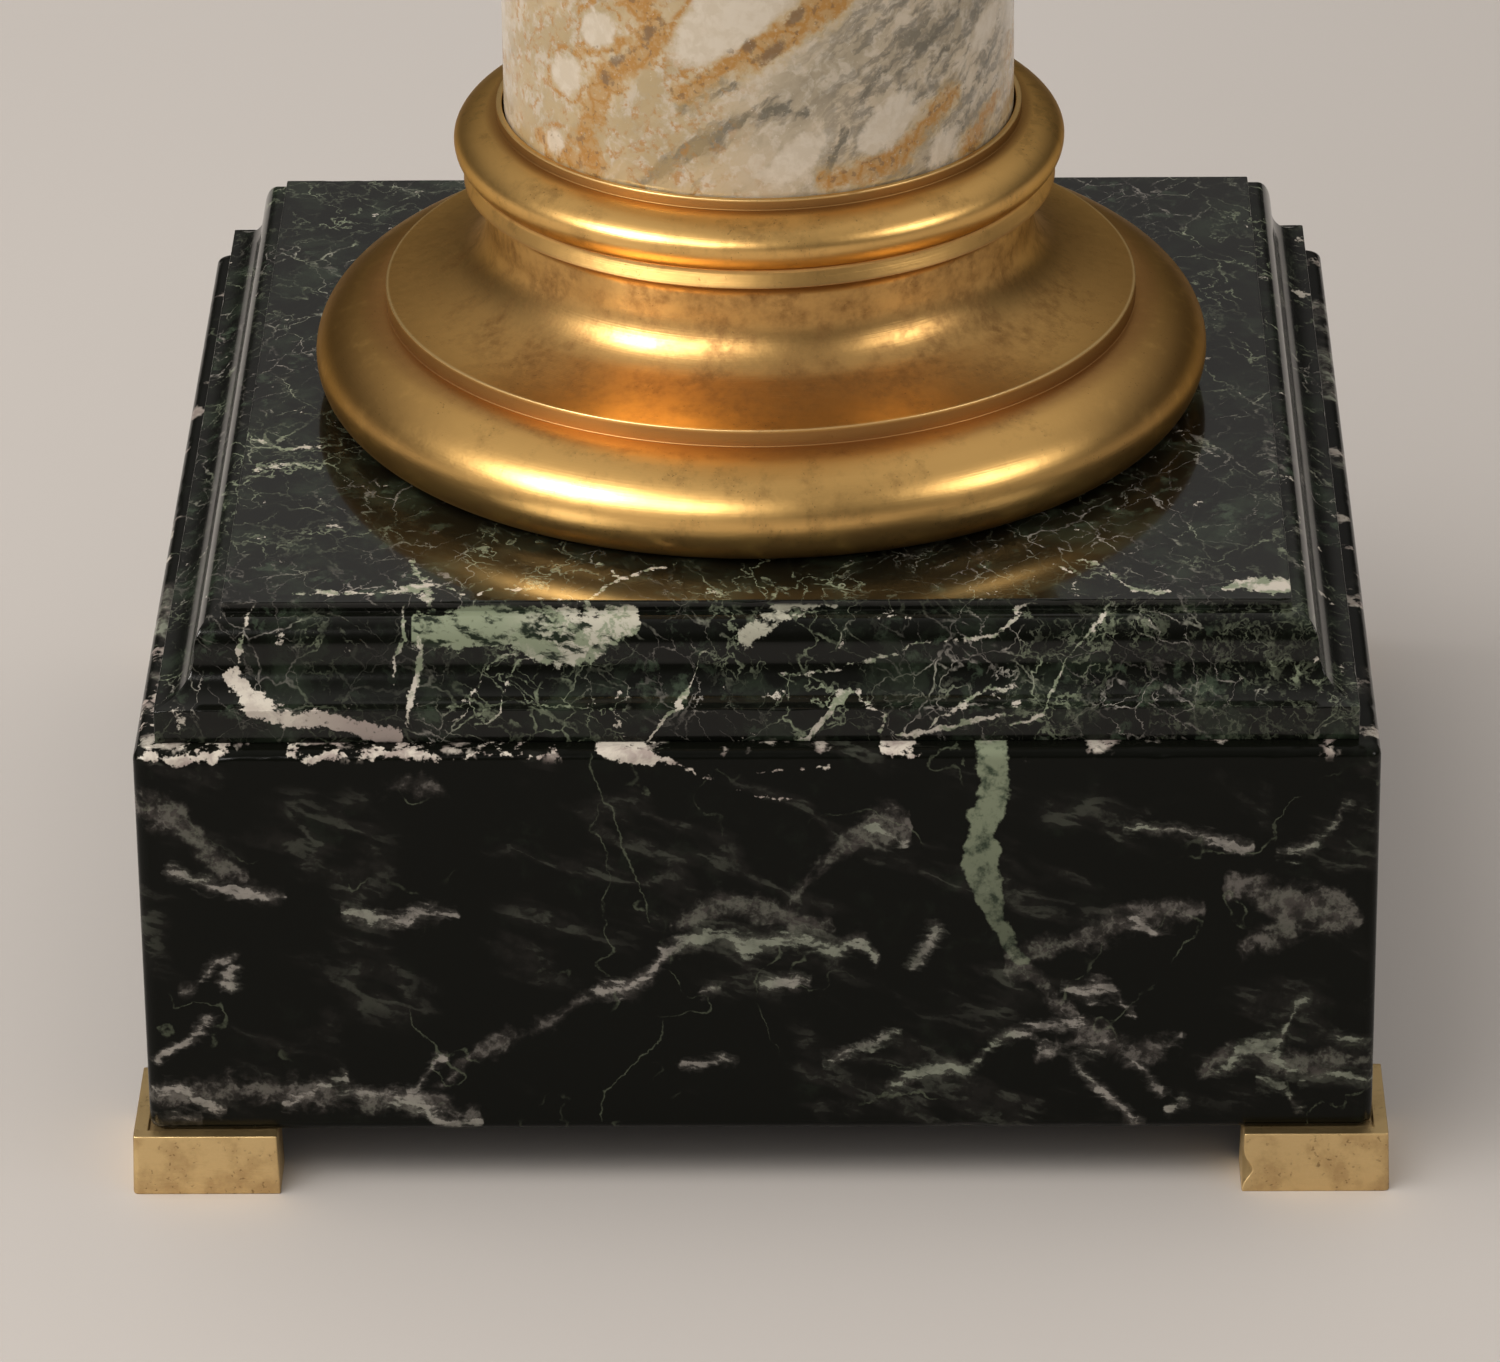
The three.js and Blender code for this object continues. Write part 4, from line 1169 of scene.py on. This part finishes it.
def make_base(sizes, mesh, colours):
    """Torus, flange, scotia, undercut, fillet, torus and collar, turned about the axis."""
    low, high, out = level("column_base"), top("column_base"), half("column_base")
    core = out - sizes.lower_out
    flange = core - sizes.flange_ledge
    neck = flange - sizes.scotia_out
    collar = neck - sizes.collar_out
    fillet = collar + sizes.fillet_out
    ledge = low + sizes.lower
    waist = ledge + sizes.flange + sizes.scotia
    brow = waist + sizes.undercut
    upper = brow + sizes.fillet
    crown = upper + sizes.upper
    tuck = math.acos(1.0 - sizes.tuck / sizes.lower_out)
    profile = worn_profile([
        [(core - REACH_UNDER, low)],
        arc((core, low + sizes.belly), (sizes.lower_out, sizes.belly / math.sin(tuck)),
            -math.degrees(tuck), 0),
        arc((flange, low + sizes.belly), (out - flange, sizes.lower - sizes.belly), 0, 90),
        scotia((flange, ledge + sizes.flange), sizes.scotia_out, sizes.scotia_bend),
        arc((fillet, waist), (fillet - neck, sizes.undercut), 180, 90),
        [(fillet - sizes.splay, upper)],
        arc((collar + sizes.core_out, (upper + crown) / 2.0),
            (sizes.upper_out, sizes.upper / 2.0), -60, 0),
        arc((collar, (upper + crown) / 2.0),
            (sizes.core_out + sizes.upper_out, sizes.upper / 2.0), 0, 90),
        [(collar, crown), (collar, high), (collar - sizes.wall, high)],
        [(collar - sizes.wall, high - sizes.socket)],
        [(collar - REACH_OVER, high - sizes.socket)]], mesh.bronze_wear, mesh.row)
    rings, normals = turned(profile, mesh.around)
    bearing, width, depth = NICK
    turn = math.radians(bearing)
    place = (collar * math.sin(turn), -collar * math.cos(turn), high)
    rings = dented(rings, normals, place, width, depth)
    # The lists give the hollow bands (partly tarnished gilding, partly painted shade), the creases
    # of painted shade, the bands of grime and painted shade, and the edges brightened partly as a
    # painted highlight
    material = gilt_bronze(
        "base bronze", colours,
        [(ledge / MM + 6.0, waist / MM + 5.0, 5.0)],
        [(low / MM, 2.0), (ledge / MM, 1.6), (brow / MM, 1.2), (upper / MM + 0.8, 1.4)],
        [(ledge / MM, (ledge + sizes.flange) / MM - 0.6, 0.6), (waist / MM + 1.0, brow / MM, 1.0),
         (crown / MM - 0.2, high / MM - 0.5, 0.25)],
        [(ledge + sizes.flange) / MM, high / MM])
    make_piece("gilt_base", rings, material, "column_base")


def make_shaft(sizes, mesh, colours):
    """Radius = foot radius - taper * share ** entasis, turned about the axis."""
    low, high, out = level("shaft"), top("shaft"), half("shaft")
    share = np.linspace(0.0, 1.0, 120)
    side = np.column_stack([out - sizes.taper * share ** sizes.entasis, low + (high - low) * share])
    profile = worn_profile([
        [(out - REACH_SHAFT, low)], side, [(out - sizes.taper - REACH_SHAFT, high)]],
        mesh.marble_wear, SHAFT_ROW)
    rings = turned(profile, mesh.around)[0]
    make_piece("breccia_shaft", rings, breccia(colours), "shaft")


def make_capital(sizes, mesh, colours):
    """Collar, bead, neck, fillet, echinus and abacus, turned about the axis."""
    low, high, out = level("capital"), top("capital"), half("capital")
    bead_low = low + sizes.collar
    neck_low = bead_low + sizes.bead
    fillet_low = neck_low + sizes.neck
    echinus_low = fillet_low + sizes.fillet
    abacus_low = echinus_low + sizes.echinus
    shaft_top = half("shaft") - bpy.context.scene.pedestal_shaft.taper
    inner = shaft_top + SHAFT_CLEARANCE
    collar = inner + sizes.wall
    fillet = collar + sizes.fillet_out
    profile = worn_profile([
        [(inner - REACH_UNDER, low + sizes.socket), (inner, low + sizes.socket), (inner, low)],
        [(collar, low)],
        arc((collar, bead_low + sizes.bead / 2.0), (sizes.bead_out, sizes.bead / 2.0), -90, 90),
        [(collar + sizes.neck_out, neck_low), (collar + sizes.neck_out, fillet_low)],
        [(fillet, fillet_low), (fillet, echinus_low)],
        arc((fillet, abacus_low), (out - fillet - sizes.ledge, sizes.echinus), -90, 0),
        [(out, abacus_low), (out, high), (out - REACH_OVER, high)]],
        mesh.bronze_wear, mesh.row)
    rings = turned(profile, mesh.around)[0]
    # The lists give the hollow bands (partly tarnished gilding, partly painted shade), the creases
    # of painted shade, the bands of grime and painted shade, and the edges brightened partly as a
    # painted highlight
    material = gilt_bronze(
        "capital bronze", colours,
        [(neck_low / MM, fillet_low / MM, 2.0), (echinus_low / MM, echinus_low / MM + 6.0, 3.0)],
        [(bead_low / MM, 1.2), (neck_low / MM, 1.4), (fillet_low / MM, 1.2),
         (echinus_low / MM, 1.4), (abacus_low / MM, 1.2)],
        [(neck_low / MM, neck_low / MM + 1.5, 1.0)],
        [low / MM, abacus_low / MM])
    make_piece("gilt_capital", rings, material, "capital")


def make_top(sizes, mesh, colours):
    """Foot fillet, cove and a flat face with a round arris, mitred round the square."""
    low, high, out = level("top_slab"), top("top_slab"), half("top_slab")
    inner = out - sizes.cove_out
    profile = worn_profile([
        [(inner - REACH_UNDER, low), (inner, low)],
        arc((out, low + sizes.foot), (sizes.cove_out, sizes.cove), 180, 90),
        arc((out - sizes.arris, high - sizes.arris), (sizes.arris,) * 2, 0, 90, 12),
        [(out - REACH_OVER, high)]], mesh.marble_wear, mesh.row)
    rings, normals = squared(profile, MITRE, mesh.along)
    rings = chipped(rings, normals, profile[2], mesh.chip, 4.0)
    material = lively_marble("top marble", colours, False, high / MM)
    make_piece("marble_top", rings, material, "top_slab")


# Stage


CAMERA_PLACE = (0.032896, -2.171810, 1.160223)
CAMERA_TURN = (63.3825, 0.5793, 0.6921)
CAMERA_LENS = 198.62
SENSOR_WIDTH = 36.0
FLOOR_RADIUS = 9.0

# Azimuth from the front and elevation in degrees, distance and size in metres, watts.
# The glints show in the polished surfaces alone and the soft lights on the dull ones.
GLINTS = {
    "glint_left": (-50.0, 29.0, 2.2, 0.80, 50.0),
    "glint_front": (-19.0, 27.0, 2.4, 0.55, 14.0),
    "glint_right": (62.0, 28.0, 2.4, 0.75, 14.0),
}
SOFT_LIGHTS = {
    "soft_side": (-80.0, 46.0, 2.4, 1.9, 22.0),
    "soft_front": (-35.0, 52.0, 2.6, 1.5, 20.0),
}
LIGHT_TARGET_HEIGHT = 0.2
# Strength of the room's light at the horizon and overhead, for dull and polished surfaces
ROOM_DULL = (0.60, 1.70)
ROOM_POLISHED = (0.07, 1.28)
# What is left of it for polished surfaces towards the sides and the front
ROOM_SIDE = 0.75
ROOM_FRONT = 0.30
# Components of a direction between which the room brightens or dims
RISE_DULL = (0.0, 0.75)
RISE_POLISHED = (0.14, 0.89)
FRONT_SPAN = (-0.7, 0.15)
SIDE_SPAN = (0.25, 0.85)
LIGHT_COLOUR = (1.0, 0.96, 0.91)


def light_room(tree, colours):
    """A pale room that lights softly from overhead and less from its walls.

    Strength = wall + (ceiling - wall) * share, where the share rises with the height of
    the direction. Polished surfaces see it darker in front and at the sides.
    """
    made = Nodes(tree)
    room = tree.nodes["Background"]
    x, y, z = made.split(made.node("ShaderNodeTexCoord", output="Generated"))
    dull, polished = [
        made.step(z, *rise) * (ceiling - wall) + wall
        for rise, (wall, ceiling) in ((RISE_DULL, ROOM_DULL), (RISE_POLISHED, ROOM_POLISHED))]
    front = made.step(y, *FRONT_SPAN) * (1.0 - ROOM_FRONT) + ROOM_FRONT
    side = made.step(abs(x), *SIDE_SPAN) * (ROOM_SIDE - 1.0) + 1.0
    glossy = made.node("ShaderNodeLightPath", output="Is Glossy Ray")
    made.feed(room.inputs["Color"], colours.air)
    made.feed(room.inputs["Strength"], dull + (polished * front * side - dull) * glossy)


def add_lamp(name, azimuth, elevation, distance, width, power):
    """A round lamp at a bearing from the plinth, turned towards it."""
    light = bpy.data.lights.new(name, "AREA")
    light.shape = "DISK"
    light.size = width
    light.energy = power
    light.color = LIGHT_COLOUR
    lamp = bpy.data.objects.new(name, light)
    turn, rise = math.radians(azimuth), math.radians(elevation)
    lamp.location = (
        distance * math.cos(rise) * math.sin(turn),
        -distance * math.cos(rise) * math.cos(turn),
        LIGHT_TARGET_HEIGHT + distance * math.sin(rise))
    lamp.rotation_euler = (math.pi / 2.0 - rise, 0.0, turn)
    bpy.context.collection.objects.link(lamp)
    return lamp


def make_stage(colours):
    """A pale floor, soft lights, a dim warm room and the camera."""
    floor_mesh = bpy.data.meshes.new("floor")
    angle = np.linspace(0.0, 2.0 * np.pi, 96, endpoint=False)
    rim = np.column_stack([np.cos(angle), np.sin(angle), np.zeros_like(angle)]) * FLOOR_RADIUS
    floor_mesh.from_pydata(rim, [], [list(range(len(rim)))])
    made = Finish("pale floor", 0.97 * colours.floor, Specular_IOR_Level=0.2)
    shade = made.noise(400.0, 2.0, 1.0)
    made.lay(shade, colours.floor)
    floor_mesh.materials.append(made.finished(Roughness=0.62 + shade * 0.06))
    floor = bpy.data.objects.new("floor", floor_mesh)
    bpy.context.collection.objects.link(floor)
    for name, bearing in GLINTS.items():
        add_lamp(name, *bearing).visible_diffuse = False
    for name, bearing in SOFT_LIGHTS.items():
        add_lamp(name, *bearing).visible_glossy = False
    scene = bpy.context.scene
    scene.world = bpy.data.worlds.new("studio")
    scene.world.use_nodes = True
    scene.world.cycles.sampling_method = "NONE"
    light_room(scene.world.node_tree, colours)
    camera = bpy.data.objects.new("camera", bpy.data.cameras.new("camera"))
    camera.location = CAMERA_PLACE
    camera.rotation_euler = [math.radians(part) for part in CAMERA_TURN]
    camera.data.lens = CAMERA_LENS
    camera.data.sensor_width = SENSOR_WIDTH
    camera.data.sensor_fit = "HORIZONTAL"
    camera.data.clip_start = 0.05
    camera.data.clip_end = 60.0
    bpy.context.collection.objects.link(camera)
    scene.camera = camera
    scene.view_settings.view_transform = "Standard"


# Operators and panel


def make(piece, sizes):
    """Run a piece's function with its sizes, the mesh sizes and the colours."""
    scene = bpy.context.scene
    piece(sizes, scene.pedestal_mesh, scene.pedestal_colours)
    return {"FINISHED"}


class PEDESTAL_OT_feet(bpy.types.Operator):
    """Make the four gilt bronze corner feet"""

    bl_idname = "pedestal.feet"
    bl_label = "Feet"

    def execute(self, context):
        return make(make_feet, context.scene.pedestal_foot)


class PEDESTAL_OT_block(bpy.types.Operator):
    """Make the square block of near-black green marble"""

    bl_idname = "pedestal.block"
    bl_label = "Block"

    def execute(self, context):
        return make(make_block, context.scene.pedestal_block)


class PEDESTAL_OT_slab(bpy.types.Operator):
    """Make the moulded slab of veined green marble"""

    bl_idname = "pedestal.slab"
    bl_label = "Moulded slab"

    def execute(self, context):
        return make(make_slab, context.scene.pedestal_slab)


class PEDESTAL_OT_base(bpy.types.Operator):
    """Make the turned gilt bronze base"""

    bl_idname = "pedestal.base"
    bl_label = "Bronze base"

    def execute(self, context):
        return make(make_base, context.scene.pedestal_base)


class PEDESTAL_OT_shaft(bpy.types.Operator):
    """Make the breccia marble shaft"""

    bl_idname = "pedestal.shaft"
    bl_label = "Shaft"

    def execute(self, context):
        return make(make_shaft, context.scene.pedestal_shaft)


class PEDESTAL_OT_capital(bpy.types.Operator):
    """Make the turned gilt bronze capital"""

    bl_idname = "pedestal.capital"
    bl_label = "Bronze capital"

    def execute(self, context):
        return make(make_capital, context.scene.pedestal_capital)


class PEDESTAL_OT_top(bpy.types.Operator):
    """Make the green marble top slab"""

    bl_idname = "pedestal.top"
    bl_label = "Top slab"

    def execute(self, context):
        return make(make_top, context.scene.pedestal_top)


class PEDESTAL_OT_stage(bpy.types.Operator):
    """Make the floor, the lights and the camera"""

    bl_idname = "pedestal.stage"
    bl_label = "Stage"

    def execute(self, context):
        make_stage(context.scene.pedestal_colours)
        return {"FINISHED"}


GROUPS = {
    "pedestal_mesh": MeshSizes,
    "pedestal_foot": FootSizes,
    "pedestal_block": BlockSizes,
    "pedestal_slab": SlabSizes,
    "pedestal_base": BaseSizes,
    "pedestal_shaft": ShaftSizes,
    "pedestal_capital": CapitalSizes,
    "pedestal_top": TopSizes,
    "pedestal_colours": Colours,
}
OPERATORS = (
    PEDESTAL_OT_feet, PEDESTAL_OT_block, PEDESTAL_OT_slab, PEDESTAL_OT_base,
    PEDESTAL_OT_shaft, PEDESTAL_OT_capital, PEDESTAL_OT_top, PEDESTAL_OT_stage)


class PEDESTAL_PT_panel(bpy.types.Panel):
    """Lists the pieces and their sizes."""

    bl_idname = "PEDESTAL_PT_panel"
    bl_label = "Marble pedestal"
    bl_space_type = "VIEW_3D"
    bl_region_type = "UI"
    bl_category = "Pedestal"

    def draw(self, context):
        for operator in OPERATORS:
            self.layout.operator(operator.bl_idname)
        for name, group in GROUPS.items():
            box = self.layout.box()
            box.label(text=group.__name__)
            for field in group.__annotations__:
                box.prop(getattr(context.scene, name), field)


def register():
    for part in (*GROUPS.values(), *OPERATORS, PEDESTAL_PT_panel):
        bpy.utils.register_class(part)
    for name, group in GROUPS.items():
        setattr(bpy.types.Scene, name, bpy.props.PointerProperty(type=group))


def unregister():
    for name in GROUPS:
        delattr(bpy.types.Scene, name)
    for part in (PEDESTAL_PT_panel, *OPERATORS, *GROUPS.values()):
        bpy.utils.unregister_class(part)


def main():
    """Make every piece and the stage."""
    register()
    bpy.ops.pedestal.feet()
    bpy.ops.pedestal.block()
    bpy.ops.pedestal.slab()
    bpy.ops.pedestal.base()
    bpy.ops.pedestal.shaft()
    bpy.ops.pedestal.capital()
    bpy.ops.pedestal.top()
    bpy.ops.pedestal.stage()


if __name__ == "__main__":
    main()
